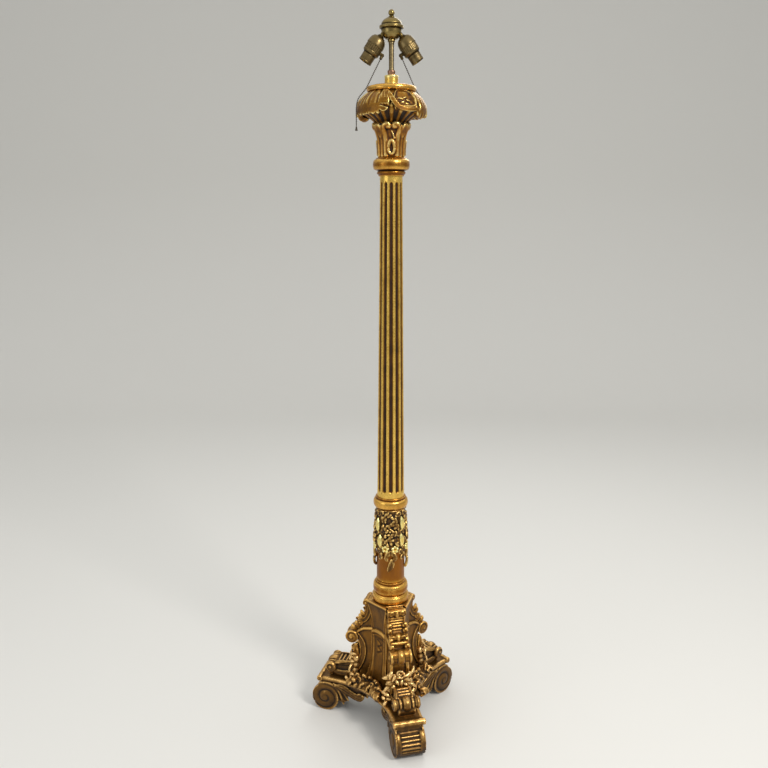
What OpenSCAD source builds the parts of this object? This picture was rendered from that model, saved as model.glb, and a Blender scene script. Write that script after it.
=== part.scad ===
// Candlestick floor lamp: carved and gilded tripod base, fluted shaft,
// acanthus capital and a two-light brass cluster with pull-chain sockets.
// Origin on the lamp's centre line at the floor, +Z up, front towards -Y.

/* [Tripod base] */
// Angle of the front leg, to the right of straight ahead
leg_turn = 14; // [0:1:30]
// Diameter of each foot roll
foot_roll_d = 77; // [64:0.5:80]
// Width of each foot across its roll
foot_w = 80; // [72:1:84]
// Distance from the middle of each foot roll out to the plate's tip
foot_back = 15; // [10:0.5:20]
// Depth of the flat on the floor side of each roll
foot_flat = 0.8; // [0.4:0.1:2]
// Width of the leg behind its roll
leg_w = 62; // [50:1:70]
// Distance from the centre line to the inner end of each leg
leg_inner = 55; // [48:1:60]
// Height of the plate's underside
plate_z = 84; // [82:0.5:90]
// Thickness of the plate
plate_t = 13; // [12:0.5:20]
// Distance from the centre line to the tips of the plate
plate_reach = 188; // [184:0.5:192]
// Width of the plate at its tips
plate_tip_w = 82; // [76:1:88]
// Distance from the centre line to the middle of the plate's hollow sides
plate_waist = 84; // [82:0.5:90]
// Diameter of the round bar across each tip
tip_bar_d = 16; // [13:0.5:18]

/* [Knee scrolls] */
// Distance from the middle of the knee roll out to the plate's tip
knee_in = 30; // [26:0.5:36]
// Height of the knee roll's middle above the plate
knee_rise = 30; // [26:0.5:34]
// Diameter of the bead in the middle of the knee roll
knee_bead_d = 40; // [34:0.5:44]
// Diameter of the knee roll's end volutes
knee_end_d = 27; // [22:0.5:30]
// Length of the knee roll
knee_w = 71; // [60:1:76]
// Width of the ribbed band behind the knee roll
knee_band_w = 50; // [44:1:54]

/* [Pedestal] */
// Height of the pedestal
pedestal_h = 238; // [236:0.5:250]
// Distance from the centre line to the middle of each face, at its narrowest
face_apothem = 42; // [40:0.5:46]
// Height of that narrowest place above the plate
face_waist_z = 133; // [120:1:140]
// Radius of the hollow of each face
face_hollow_r = 600; // [500:10:900]
// Distance from the centre line to the back of the corner scrolls
scroll_back = 44; // [40:0.5:46]
// Width of the corner scrolls
scroll_w = 50; // [40:1:52]
// Width across the volutes of the corner scrolls
volute_w = 56; // [50:1:60]
// Diameter of the corner scrolls' main volutes
volute_d = 36; // [30:0.5:40]
// Thickness of the arched bands on the pedestal's faces
band_t = 4; // [2:0.5:6]

/* [Turned column] */
// Height of the collar on the pedestal
base_collar_h = 23; // [20:0.5:27]
// Diameter of that collar
base_collar_d = 95; // [91:0.5:100]
// Height of the ring below the vase
vase_ring_h = 35; // [33:0.5:38]
// Diameter of that ring
vase_ring_d = 90; // [84:0.5:96]
// Height of the vase, the plain length under the carved festoons
vase_h = 198; // [190:1:210]
// Diameter of the vase
vase_d = 72; // [68:0.5:76]
// Greatest height of the festoons off the vase
relief = 11; // [8:0.5:14]
// Height of the collar below the shaft
lower_collar_h = 30; // [26:0.5:34]
// Diameter of that collar
lower_collar_d = 88; // [82:0.5:94]
// Length of the shaft between its collars
shaft_h = 787; // [600:1:900]
// Diameter of the shaft at its foot
shaft_foot_d = 68.8; // [66:0.2:72]
// Diameter of the shaft at its head
shaft_head_d = 53.4; // [50:0.2:58]
// Number of flutes on the shaft
flutes = 12; // [8:1:16]
// Depth of the flutes at the foot
flute_depth = 4; // [2:0.5:5]
// Bare length of shaft at each end of the flutes
flute_margin = 14; // [10:1:30]
// Height of the collar above the shaft
upper_collar_h = 44; // [40:0.5:50]
// Diameter of that collar
upper_collar_d = 86.6; // [80:0.2:92]
// Diameter of the wooden tenons that join the turned pieces
tenon_d = 30; // [24:1:36]
// Length that each tenon reaches into the next piece
tenon_in = 20; // [12:1:30]

/* [Capital] */
// Height of the leaf calyx below the crown
calyx_h = 73; // [66:0.5:78]
// Diameter of the calyx at its foot
calyx_foot_d = 62; // [58:0.5:66]
// Diameter of the calyx over its rolled lips
calyx_lip_d = 88; // [82:0.5:90]
// Number of petals of the calyx
petals = 4; // [3:1:6]
// Height of the crown of overturned leaves
crown_h = 69; // [66:0.5:74]
// Diameter of the crown over its leaves
crown_d = 165; // [160:0.5:166]
// Number of leaves round the crown
crown_leaves = 8; // [6:1:12]
// Height of the ring on the crown
crown_ring_h = 15; // [13:0.5:15.5]
// Diameter of that ring
crown_ring_d = 114.8; // [110:0.2:115]
// Diameter of the candle cup
candle_cup_d = 32.8; // [30:0.2:40]
// Height of the candle cup
candle_cup_h = 22; // [18:0.5:26]

/* [Brass stem and cluster] */
// Outside diameter of the threaded pipe through the whole lamp
rod_d = 9.6; // [9:0.1:10.4]
// Bore of that pipe
rod_bore = 6.4; // [5.8:0.1:6.8]
// Clearance round the pipe in the wooden pieces
rod_gap = 0.7; // [0.3:0.1:1.5]
// Height of the locknut
locknut_h = 11; // [8:0.5:14]
// Length of the stem tube that shows
stem_h = 61; // [50:0.5:80]
// Outside diameter of the stem tube
stem_d = 12; // [11.5:0.1:14]
// Height of the coupling under the cluster cup
coupling_h = 6; // [4:0.5:9]
// Height of the cluster cup
cup_h = 26; // [24:0.5:30]
// Diameter of the cluster cup at its rim
cup_d = 55.4; // [53:0.2:60]
// Wall of the spun cup and its cap
spun_wall = 1.4; // [1:0.1:2]
// Height of the domed cap
cap_h = 21; // [18:0.5:24]
// Diameter of the finial's ball
finial_ball_d = 14.6; // [12:0.2:17]
// Height of the finial above the cap
finial_h = 16; // [15:0.5:22]

/* [Sockets] */
// Angle of the sockets away from straight down
socket_splay = 34.5; // [30:0.5:38]
// Distance from the centre line to the top of each socket
socket_out = 27.5; // [26.5:0.1:29]
// Height of each socket's top above the cluster cup's foot
socket_rise = 0; // [-1:0.1:1]
// Length of a socket from its cap to its mouth
socket_l = 58.5; // [57:0.5:64]
// Diameter of a socket's barrel
barrel_d = 39; // [38:0.2:41]
// Diameter of a socket's mouth
mouth_d = 30; // [29.6:0.1:31]
// Wall of the socket shells
shell_wall = 0.6; // [0.4:0.1:0.8]
// Wall of the fibre liners
liner_wall = 0.5; // [0.3:0.1:0.6]
// Inside diameter of the threaded screw shells, for E26 bulbs
bulb_d = 26.6; // [26:0.1:26.8]
// Clearance between pieces that slide into each other
fit_gap = 0.1; // [0.05:0.01:0.15]

/* [Pull chains] */
// Diameter of the bead chains
chain_d = 3.2; // [2.4:0.1:3.4]
// Height of the bells on the chain ends
bell_h = 8.5; // [7:0.5:11]
// Diameter of the bells
bell_d = 6; // [5:0.1:7]

/* [Fasteners and wiring] */
// Diameter of the washer under the plate
washer_d = 40; // [30:1:50]
// Thickness of that washer
washer_t = 3; // [2:0.5:4]
// Width across flats of the bottom nut
nut_af = 17; // [16:0.5:19]
// Height of the bottom nut
nut_h = 8; // [6:0.5:9]
// Diameter of the wood screws that hold the legs
screw_d = 4.5; // [4:0.1:5.5]
// Length of those screws
screw_l = 30; // [26:1:32]
// Diameter of one insulated lead
lead_d = 2.6; // [2:0.1:2.6]

/* [Hidden] */
$fn = 48;
eps = 0.01;

// Colours of the finishes
gilt = "#B8862F";
gilt_dark = "#7A5A2A";
gilt_bright = "#D9AE4C";
old_brass = "#8F7F3F";
bronze = "#5A4828";
fibre = "#6E5A3C";
bakelite = "#2A1A12";
brass = "#C8A850";
steel = "#8C8C8C";

// Heights of the stack, each from the one below
foot_r = foot_roll_d / 2;
foot_z = foot_r - foot_flat;
plate_top = plate_z + plate_t;
foot_reach = plate_reach - foot_back;
knee_reach = plate_reach - knee_in;
pedestal_top = plate_top + pedestal_h;
vase_ring_z = pedestal_top + base_collar_h;
vase_z = vase_ring_z + vase_ring_h;
lower_collar_z = vase_z + vase_h;
shaft_z = lower_collar_z + lower_collar_h;
upper_collar_z = shaft_z + shaft_h;
calyx_z = upper_collar_z + upper_collar_h;
crown_z = calyx_z + calyx_h;
crown_ring_z = crown_z + crown_h;
candle_cup_z = crown_ring_z + crown_ring_h;
locknut_z = candle_cup_z + candle_cup_h;
stem_z = locknut_z + locknut_h;
coupling_z = stem_z + stem_h;
cup_z = coupling_z + coupling_h;
cap_z = cup_z + cup_h;
finial_z = cap_z + cap_h;
socket_z = cup_z + socket_rise;

bore_r = rod_d / 2 + rod_gap;
tenon_r = tenon_d / 2;
washer_z = plate_z - washer_t;
nut_z = washer_z - nut_h;
rod_foot = nut_z - 7;
rod_head = finial_z - 4;

// Pieces that repeat round the base
function leg_angle(i) = leg_turn - 90 + 120 * i;
module at_leg(i) rotate([0, 0, leg_angle(i)]) children();
module at_face(i) rotate([0, 0, leg_angle(i) + 60]) children();

// ---- Shapes used by several pieces ----

// Points of a round moulding that swells from r0 to r1 and back over height h from z
function swell(r0, r1, z, h, steps = 10) =
    let (rise = r1 - r0, big_r = (rise * rise + h * h / 4) / (2 * rise), half = asin(h / 2 / big_r))
    [for (i = [0:steps]) let (a = half * (2 * i / steps - 1))
        [r1 - big_r + big_r * cos(a), z + h / 2 + big_r * sin(a)]];

// A turned piece from outline points going up, bored for the pipe
module turned(outline, bore = bore_r, $fn = 96) {
    low = outline[0][1];
    high = outline[len(outline) - 1][1];
    rotate_extrude() polygon(concat([[bore, low]], outline, [[bore, high]]));
}

// A tube standing on z
module tube(r_out, r_in, z, h) {
    translate([0, 0, z]) difference() {
        cylinder(r = r_out, h = h);
        translate([0, 0, -1]) cylinder(r = r_in, h = h + 2);
    }
}

// A cylinder lying along Y, its middle at [x, 0, z]
module roll(x, z, d, w) translate([x, w / 2, z]) rotate([90, 0, 0]) cylinder(d = d, h = w);

// A plate in the XZ plane, w wide across Y
module side_plate(points, w) translate([0, w / 2, 0]) rotate([90, 0, 0]) linear_extrude(w) polygon(points);

// A carved leaf along +X, bending up by bend degrees, ridged along its middle
module leaf(l, w, t, bend, steps = 5) {
    arc_r = l / (bend * PI / 180);
    rings = [for (i = [0:steps]) let (u = 0.04 + 0.93 * i / steps, a = bend * u, s = pow(sin(180 * u), 0.7))
        let (x = arc_r * sin(a), z = arc_r * (1 - cos(a)), nx = -sin(a), nz = cos(a))
        [[x, w / 2 * s, z], [x + nx * t * s, 0, z + nz * t * s], [x, -w / 2 * s, z],
            [x - nx * t * s / 2, 0, z - nz * t * s / 2]]];
    points = [for (ring = rings) each ring];
    last = 4 * steps;
    polyhedron(points, concat([[0, 1, 2], [0, 2, 3], [last + 2, last + 1, last], [last + 3, last + 2, last]],
        [for (i = [0:steps - 1], k = [0:3]) let (a = 4 * i + k, b = 4 * i + (k + 1) % 4)
            each [[a, a + 4, b], [b, a + 4, b + 4]]]));
}

// ---- Tripod base ----

leg_arch_r = 58;
leg_arch_x = 92;
disc_groove_r = 28;
disc_groove_d = 4;
foot_boss_d = 24;
foot_boss_out = 2;
foot_rib_count = 6;
foot_rib_w = 52;

module leg(i) {
    color(gilt_dark) at_leg(i) difference() {
        union() {
            side_plate([[leg_inner, plate_z], [plate_reach, plate_z], [foot_reach + foot_r * 0.8, plate_z - 25],
                [foot_reach, foot_z], [foot_reach - foot_r * 0.8, foot_z - foot_r * 0.6],
                [foot_reach - foot_r * 1.5, foot_z], [leg_inner, foot_z]], leg_w);
            roll(foot_reach, foot_z, foot_roll_d, foot_w);
            roll(foot_reach, foot_z, foot_boss_d, foot_w + 2 * foot_boss_out);
        }
        roll(leg_arch_x, 2, 2 * leg_arch_r, leg_w + 2);
        for (side = [-1, 1]) translate([foot_reach, side * foot_w / 2, foot_z]) rotate([90, 0, 0])
            rotate_extrude() translate([disc_groove_r, 0]) circle(d = disc_groove_d);
        for (k = [0:foot_rib_count - 1]) let (a = 50 - 17 * k)
            roll(foot_reach + foot_r * cos(a), foot_z + foot_r * sin(a), 5, foot_rib_w);
        translate([0, -foot_w, -foot_r]) cube([foot_reach + foot_roll_d, 2 * foot_w, foot_r]);
        leg_screw_holes();
    }
}

tip_bar_lift = 0.5;
screw_places = [112, 138];
screw_head_d = 9;
screw_head_h = 3;
module leg_screw_holes() for (x = screw_places)
    translate([x, 0, plate_top - screw_l]) cylinder(d = screw_d + fit_gap, h = screw_l + 1, $fn = 24);

hollow_half = plate_reach * sin(60) - plate_tip_w / 2 * cos(60);
hollow_end = plate_reach * cos(60) + plate_tip_w / 2 * sin(60);
hollow_sag = hollow_end - plate_waist;
plate_hollow_r = (hollow_half * hollow_half + hollow_sag * hollow_sag) / (2 * hollow_sag);

module plate_outline() difference() {
    polygon([for (i = [0:2], side = [-1, 1]) let (a = leg_angle(i))
        [plate_reach * cos(a) - side * plate_tip_w / 2 * sin(a),
            plate_reach * sin(a) + side * plate_tip_w / 2 * cos(a)]]);
    for (i = [0:2]) rotate([0, 0, leg_angle(i) + 60])
        translate([plate_waist + plate_hollow_r, 0]) circle(r = plate_hollow_r, $fn = 180);
}

module base_plate() {
    color(gilt_dark) difference() {
        union() {
            translate([0, 0, plate_z]) linear_extrude(plate_t) plate_outline();
            for (i = [0:2]) at_leg(i)
                roll(plate_reach, plate_z + tip_bar_d / 2 + tip_bar_lift, tip_bar_d, plate_tip_w + 2);
        }
        translate([0, 0, plate_z - 1]) cylinder(r = bore_r, h = plate_t + 2);
        for (i = [0:2]) at_leg(i) {
            leg_screw_holes();
            for (x = screw_places) translate([x, 0, plate_top - screw_head_h]) cylinder(
                d1 = screw_d + fit_gap, d2 = screw_head_d + fit_gap, h = screw_head_h + eps, $fn = 24);
        }
    }
}

module leg_screws() {
    color(steel) for (i = [0:2], x = screw_places) at_leg(i) translate([x, 0, plate_top - screw_l]) {
        cylinder(d = screw_d, h = screw_l - screw_head_h, $fn = 24);
        translate([0, 0, screw_l - screw_head_h])
            cylinder(d1 = screw_d, d2 = screw_head_d, h = screw_head_h - eps, $fn = 24);
    }
}

// ---- Knee scrolls ----

knee_back = 98;
knee_z = plate_top + knee_rise;
knee_ribs = 3;
knee_groove_d = 4;

module knee_scroll(i) {
    color(gilt_dark) at_leg(i) difference() {
        union() {
            side_plate([[knee_back, plate_top], [knee_reach + 4, plate_top], [knee_reach + 8, knee_z],
                [knee_reach, knee_z + knee_end_d / 2], [knee_back + 32, knee_z + 20], [knee_back + 16, knee_z + 22],
                [knee_back, knee_z + 14]], knee_band_w);
            roll(knee_reach, knee_z, knee_end_d, knee_w);
            translate([knee_reach, 0, knee_z]) sphere(d = knee_bead_d);
        }
        for (k = [0:knee_ribs])
            roll(knee_back + 14 + 10 * k, knee_z + 23.5 - 1.2 * k * k, knee_groove_d, knee_band_w - 14);
    }
}

// ---- Pedestal ----

module face_hollow(i, offset_r = 0) at_face(i) rotate([0, 0, 90])
    translate([-plate_reach, -face_apothem - face_hollow_r, plate_top + face_waist_z]) rotate([0, 90, 0])
        cylinder(r = face_hollow_r + offset_r, h = 2 * plate_reach, $fn = 180);

module pedestal_core() {
    color(gilt) difference() {
        translate([0, 0, plate_top]) linear_extrude(pedestal_h) difference() {
            circle(r = 2 * plate_waist, $fn = 3 * 32);
            for (i = [0:2]) rotate([0, 0, leg_angle(i)])
                translate([scroll_back, -scroll_w / 2]) square([3 * plate_waist, scroll_w]);
        }
        for (i = [0:2]) face_hollow(i);
        translate([0, 0, plate_top - 1]) cylinder(r = bore_r, h = pedestal_h + 2);
        translate([0, 0, pedestal_top - tenon_in - fit_gap]) cylinder(r = tenon_r + fit_gap, h = tenon_in + 1);
    }
}

// Side outline of a corner scroll: foot, waist under the volute, ladder and top bow
bow_x = 60;
bow_d = 18;
bow_z = pedestal_top - 12;
volute_x = 100;
volute_z = plate_top + 125;
curl_x = 77;
curl_d = 18;
curl_z = volute_z + 43;
ladder_ribs = 5;

module corner_scroll(i) {
    color(gilt) at_leg(i) difference() {
        union() {
            side_plate([[scroll_back, plate_top], [knee_back, plate_top], [knee_back - 4, plate_top + 24],
                [knee_back - 12, plate_top + 50], [knee_back - 16, plate_top + 75], [volute_x - 16, volute_z - 24],
                [volute_x, volute_z], [volute_x - 14, volute_z + 14], [volute_x - 14, volute_z + 22],
                [curl_x, curl_z], [curl_x - 7, curl_z + 10], [bow_x + 4, pedestal_top - 52],
                [bow_x - 4, pedestal_top - 30], [bow_x, pedestal_top - 20], [bow_x + 1, bow_z - 4],
                [bow_x - 5, pedestal_top], [scroll_back, pedestal_top]], scroll_w);
            roll(volute_x, volute_z, volute_d, volute_w);
            roll(curl_x, curl_z, curl_d, scroll_w);
            side_plate([[bow_x - bow_d / 2, bow_z], [bow_x - 4, pedestal_top - 28], [bow_x + 2, pedestal_top - 28],
                [bow_x + bow_d / 2, bow_z]], scroll_w - 10);
            roll(bow_x, bow_z, bow_d, scroll_w);
        }
        for (k = [0:ladder_ribs - 1]) let (u = (k + 0.5) / ladder_ribs)
            roll(bow_x - 2.5 + 10 * u, pedestal_top - 34 - 23 * u, 4, scroll_w - 20);
    }
}

// Arched bands on the three faces
arch_w = 44;
arch_z = plate_top + 52;
arch_h = 104;
arch_band = 7;
module arch_outline(grow) union() {
    translate([-arch_w / 2 - grow, -grow]) square([arch_w + 2 * grow, arch_h - arch_w / 2 + grow]);
    translate([0, arch_h - arch_w / 2]) circle(r = arch_w / 2 + grow);
}
module face_panels() {
    color(gilt) for (i = [0:2]) intersection() {
        at_face(i) translate([0, 0, arch_z]) rotate([90, 0, 90]) linear_extrude(plate_waist) difference() {
            arch_outline(0);
            arch_outline(-arch_band);
        }
        difference() {
            face_hollow(i);
            face_hollow(i, -band_t);
        }
    }
}

// ---- Garland of leaves and berries round the foot of the pedestal ----

bed_x = 57.5;
bed_w = 86;
bed_h = 14;
garland_leaves = 5;
leaf_l = 58;
leaf_w = 21;
leaf_t = 4;
crest_l = 36;
crest_w = 17;
berry_d = 13;
module leaf_garland() {
    color(gilt_dark) for (i = [0:2]) at_face(i) {
        translate([bed_x, -bed_w / 2, plate_top]) cube([plate_waist - bed_x - 2, bed_w, bed_h]);
        for (k = [0:garland_leaves - 1]) let (side = k - (garland_leaves - 1) / 2) {
            translate([bed_x + leaf_t, side * leaf_w * 0.76, plate_top + leaf_t]) rotate([0, -80, side * 16])
                leaf(leaf_l, leaf_w, leaf_t, -62);
            translate([bed_x + 2 * leaf_t, side * leaf_w * 0.71, plate_top + 2 * leaf_t]) rotate([0, -24, side * 24])
                leaf(crest_l, crest_w, leaf_t, -40);
        }
        for (side = [-1, 0, 1]) translate([bed_x + bed_h + leaf_t, side * 2 * berry_d + 6, plate_top + bed_h + 3])
            sphere(d = berry_d, $fn = 24);
    }
}

// ---- Turned column ----

module base_collar() {
    r = base_collar_d / 2;
    color(gilt_bright) turned(concat([[r - 6, pedestal_top]], swell(r - 4, r, pedestal_top + 2, base_collar_h - 4),
        [[r - 6, pedestal_top + base_collar_h]]), tenon_r + fit_gap);
}

module vase_ring() {
    r = vase_ring_d / 2;
    z = vase_ring_z;
    color(gilt_bright) turned(concat([[r - 5, z]], swell(r - 5, r, z + 1.5, 26),
        swell(vase_d / 2 + 0.5, vase_d / 2 + 2.5, z + 28.5, vase_ring_h - 28.5)), tenon_r + fit_gap);
}

module vase() {
    reach = vase_ring_h + base_collar_h + tenon_in;
    color(gilt) difference() {
        union() {
            translate([0, 0, vase_z]) cylinder(d = vase_d, h = vase_h, $fn = 96);
            translate([0, 0, vase_z - reach]) cylinder(r = tenon_r, h = reach + 1);
        }
        translate([0, 0, vase_z - reach - 1]) cylinder(r = bore_r, h = reach + vase_h + 2);
        translate([0, 0, lower_collar_z - tenon_in - fit_gap]) cylinder(r = tenon_r + fit_gap, h = tenon_in + 1);
    }
}

// Oval bunches of flowers with a rosette below, and husk drops between them
bunches = 4;
bunch_top = lower_collar_z - 8;
bunch_h = 96;
bunch_w = 44;
drop_husks = 5;
bud_r = 6;
bud_rows = 6;
husk_l = 34;
husk_w = 15;
husk_t = 4.5;
husk_step = 24;
module bunch() {
    mid = bunch_top - bunch_h / 2;
    intersection() {
        tube(vase_d / 2 + relief - 7, vase_d / 2, bunch_top - bunch_h, bunch_h);
        translate([0, 0, mid]) rotate([90, 0, 90]) linear_extrude(vase_d)
            polygon([for (a = [0:15:345]) [bunch_w / 2 * cos(a), bunch_h / 2 * sin(a)]]);
    }
    difference() {
        for (row = [0:bud_rows - 1], k = [-1:1]) let (u = row / (bud_rows - 1), spread = 10 + 6 * sin(180 * u),
            turn = (k + (row % 2) / 2 - 0.25) * spread) rotate([0, 0, turn])
            translate([vase_d / 2 + 1 + 2.6 * u, 0, bunch_top - 2 * bud_r - (bunch_h - 28) * u])
                sphere(r = bud_r * (1 + u / 6), $fn = 24);
        translate([0, 0, vase_z]) cylinder(d = vase_d, h = vase_h);
    }
}
module rosette() difference() {
    z = bunch_top - bunch_h - 16;
    union() {
        for (a = [0:60:300]) translate([vase_d / 2, 1.5 * bud_r * cos(a), z + 1.5 * bud_r * sin(a)])
            sphere(r = bud_r, $fn = 24);
        translate([vase_d / 2 + relief - bud_r, 0, z]) sphere(r = bud_r, $fn = 24);
    }
    translate([0, 0, vase_z]) cylinder(d = vase_d, h = vase_h);
}
module husk_drop() difference() {
    for (k = [0:drop_husks - 1]) translate([vase_d / 2, 0, bunch_top - 4 - husk_step * k]) rotate([0, 82, 0])
        leaf(husk_l, husk_w - k, husk_t, -16);
    translate([0, 0, vase_z]) cylinder(d = vase_d, h = vase_h);
}
module festoons() {
    color(gilt_bright) for (k = [0:bunches - 1]) {
        rotate([0, 0, -90 + 360 / bunches * k]) bunch();
        rotate([0, 0, -90 + 360 / bunches * k]) rosette();
        rotate([0, 0, -90 + 360 / bunches * (k + 0.5)]) husk_drop();
    }
}

module shaft_collar_lower() {
    r = lower_collar_d / 2;
    z = lower_collar_z;
    color(gilt_bright) turned(concat([[vase_d / 2 + 1, z]], swell(r - 5, r, z + 2, lower_collar_h - 8),
        swell(shaft_foot_d / 2 + 2, shaft_foot_d / 2 + 4, z + lower_collar_h - 5, 5)), tenon_r + fit_gap);
}

module shaft() {
    foot_reach_down = lower_collar_h + tenon_in;
    head_reach_up = upper_collar_h + tenon_in;
    lean = atan((shaft_foot_d - shaft_head_d) / 2 / shaft_h);
    taper = shaft_head_d / shaft_foot_d;
    cut_r = 1.5 * flute_depth;
    cut_z0 = flute_margin + cut_r;
    cut_z1 = shaft_h - flute_margin - cut_r;
    color(gilt_bright) difference() {
        union() {
            translate([0, 0, shaft_z]) cylinder(d1 = shaft_foot_d, d2 = shaft_head_d, h = shaft_h, $fn = 96);
            translate([0, 0, shaft_z - foot_reach_down]) cylinder(r = tenon_r, h = foot_reach_down + 1);
            translate([0, 0, shaft_z + shaft_h - 1]) cylinder(r = tenon_r, h = head_reach_up + 1);
        }
        translate([0, 0, shaft_z - foot_reach_down - 1])
            cylinder(r = bore_r, h = foot_reach_down + shaft_h + head_reach_up + 2);
        for (k = [0:flutes - 1]) rotate([0, 0, -90 + 360 / flutes * k])
            translate([shaft_foot_d / 2 + cut_r - flute_depth, 0, shaft_z + cut_z0]) rotate([0, -lean, 0]) {
                cylinder(r1 = cut_r, r2 = cut_r * taper, h = cut_z1 - cut_z0, $fn = 32);
                sphere(r = cut_r, $fn = 32);
                translate([0, 0, cut_z1 - cut_z0]) sphere(r = cut_r * taper, $fn = 32);
            }
    }
}

module shaft_collar_upper() {
    r = upper_collar_d / 2;
    z = upper_collar_z;
    neck = shaft_head_d / 2 + 1.5;
    color(gilt_bright) turned(concat([[neck, z]], swell(neck + 3, neck + 5, z + 4, 6), [[neck + 4, z + 12]],
        swell(r - 6, r, z + 14, upper_collar_h - 19), [[calyx_foot_d / 2 + 4, z + upper_collar_h - 4],
        [calyx_foot_d / 2 + 2, z + upper_collar_h]]), tenon_r + fit_gap);
}

// ---- Capital ----

module calyx() {
    r0 = calyx_foot_d / 2;
    r1 = calyx_lip_d / 2;
    lip = 6;
    lip_z = calyx_z + calyx_h - lip - 1;
    color(gilt_bright) difference() {
        union() {
            turned([[r0, calyx_z], [r0 - 1, calyx_z + 11], [r0, calyx_z + 29], [r0 + 1.5, calyx_z + 42],
                [r0 + 4.5, calyx_z + 55], [r1 - 7, calyx_z + 62], [r1 - 9, calyx_z + calyx_h]]);
            for (k = [0:petals - 1]) rotate([0, 0, -90 + 360 / petals * k - 30]) translate([0, 0, lip_z])
                rotate_extrude(angle = 60) translate([r1 - lip, 0]) circle(r = lip, $fn = 24);
        }
        for (k = [0:petals - 1], side = [-34, 34]) rotate([0, 0, -90 + 360 / petals * k + side])
            translate([r0 + 3.5, 0, calyx_z + 4]) rotate([0, 5, 0]) cylinder(r = 5, h = 52, $fn = 24);
        translate([0, 0, calyx_z - 1]) cylinder(r = tenon_r + fit_gap, h = tenon_in + 1 + fit_gap);
    }
}

module crown() {
    r = crown_d / 2;
    z = crown_z;
    top_r = crown_ring_d / 2 - 4;
    color(gilt) difference() {
        turned([[calyx_lip_d / 2 - 9, z], [calyx_lip_d / 2 - 4, z + 6], [r - 24, z + 10], [r - 11, z + 9],
            [r - 4, z + 12], [r, z + 20], [r, z + 32], [r - 4, z + 43], [r - 10, z + 53],
            [top_r + 4, z + 61], [top_r, z + crown_h]]);
        for (k = [0:crown_leaves - 1]) rotate([0, 0, -90 + 360 / crown_leaves * (k + 0.5)])
            translate([r, 0, z]) rotate([0, -14, 0]) cylinder(r = 8, h = crown_h - 10, $fn = 24);
    }
}

module crown_ring() {
    r = crown_ring_d / 2;
    color(gilt_bright) turned(concat([[r - 7, crown_ring_z]], swell(r - 7, r, crown_ring_z + 0.5, crown_ring_h - 1),
        [[r - 9, crown_ring_z + crown_ring_h]]));
}

module candle_cup() {
    r = candle_cup_d / 2;
    color(gilt_bright)
        turned([[r, candle_cup_z], [r, candle_cup_z + candle_cup_h - 2], [r - 2, candle_cup_z + candle_cup_h]]);
}

// ---- Brass stem and cluster ----

module centre_rod() {
    color(steel) difference() {
        tube(rod_d / 2, rod_bore / 2, rod_foot, rod_head - rod_foot);
        translate([-rod_d, -1.8, cup_z + 9]) cube([2 * rod_d, 3.6, 12]);
    }
}

module stem_locknut() {
    color("#B0705A") turned([[9, locknut_z], [9.5, locknut_z + 2], [8, locknut_z + 4], [8, locknut_z + locknut_h - 2],
        [7, locknut_z + locknut_h]], rod_d / 2 + fit_gap);
}

module stem() color(old_brass) tube(stem_d / 2, rod_d / 2 + fit_gap, stem_z, stem_h);

module cluster_coupling() {
    color(old_brass) turned([[stem_d / 2 + 1, coupling_z], [stem_d / 2 + 2.6, coupling_z + 1.5],
        [stem_d / 2 + 2.6, coupling_z + coupling_h]], rod_d / 2 + fit_gap);
}

// Outside of the cluster cup, from its foot to its rim
cup_foot_r = 12.5;
cup_outline = [[cup_foot_r, 0], [cup_d / 2 - 8.4, 7], [cup_d / 2 - 6.2, 11], [cup_d / 2 - 5.1, 17],
    [cup_d / 2 - 2.8, 20.5], [cup_d / 2, cup_h - 3], [cup_d / 2, cup_h]];
function shrink(outline, by) = [for (p = outline) [max(p[0] - by, 0), p[1]]];

module cup_solid(grow = 0) translate([0, 0, cup_z])
    rotate_extrude($fn = 96) polygon(concat([[0, 0]], shrink(cup_outline, -grow), [[0, cup_h]]));

module cluster_cup() {
    inner = shrink(cup_outline, spun_wall);
    color(old_brass) difference() {
        cup_solid();
        translate([0, 0, cup_z]) rotate_extrude($fn = 96) polygon(concat([[0, spun_wall], [inner[0][0], spun_wall]],
            [for (k = [1:len(inner) - 1]) inner[k]], [[inner[6][0], cup_h + 1], [0, cup_h + 1]]));
        translate([0, 0, cup_z - 1]) cylinder(d = rod_d + 2 * fit_gap, h = 5);
        for (side = [-1, 1]) at_socket(side) arm_hole();
    }
}

module cluster_cap() {
    r = cup_d / 2;
    top = [[r, 0], [r, 1.5], [r - 1.7, 5], [r - 4.7, 9], [r - 9.7, 14], [r - 17.7, 18], [r - 20.5, cap_h]];
    inner = [[0, cap_h - 2 * spun_wall], [r - 20.5, cap_h - 2 * spun_wall], [r - 19, 16], [r - 11.4, 12.4],
        [r - 6.6, 8], [r - 3.4, 4], [r - 2, 0], [0, 0]];
    color(old_brass) translate([0, 0, cap_z]) difference() {
        rotate_extrude($fn = 96) polygon(concat([[0, 0]], top, [[0, cap_h]]));
        rotate_extrude($fn = 96) polygon(inner);
        translate([0, 0, -1]) cylinder(r = 4, h = cap_h + 2);
    }
}

stud_r = rod_bore / 2 - fit_gap;
stud_l = 12;
module finial() {
    ball_z = finial_h - finial_ball_d / 2 + 0.3;
    color(old_brass) translate([0, 0, finial_z]) {
        rotate_extrude() polygon([[0, 0.3], [6.5, 0.3], [6.5, 1.3], [4.4, 2.6], [3.6, ball_z - 4], [0, ball_z - 4]]);
        translate([0, 0, ball_z]) sphere(d = finial_ball_d, $fn = 64);
        translate([0, 0, -stud_l]) cylinder(r = stud_r, h = stud_l + 1, $fn = 32);
    }
}

// ---- Sockets, drawn for the right one with +Z out of its mouth and +X towards the stem ----

module at_socket(side) mirror([side < 0 ? 1 : 0, 0, 0])
    translate([socket_out, 0, socket_z]) rotate([0, 180 - socket_splay, 0]) children();

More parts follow.
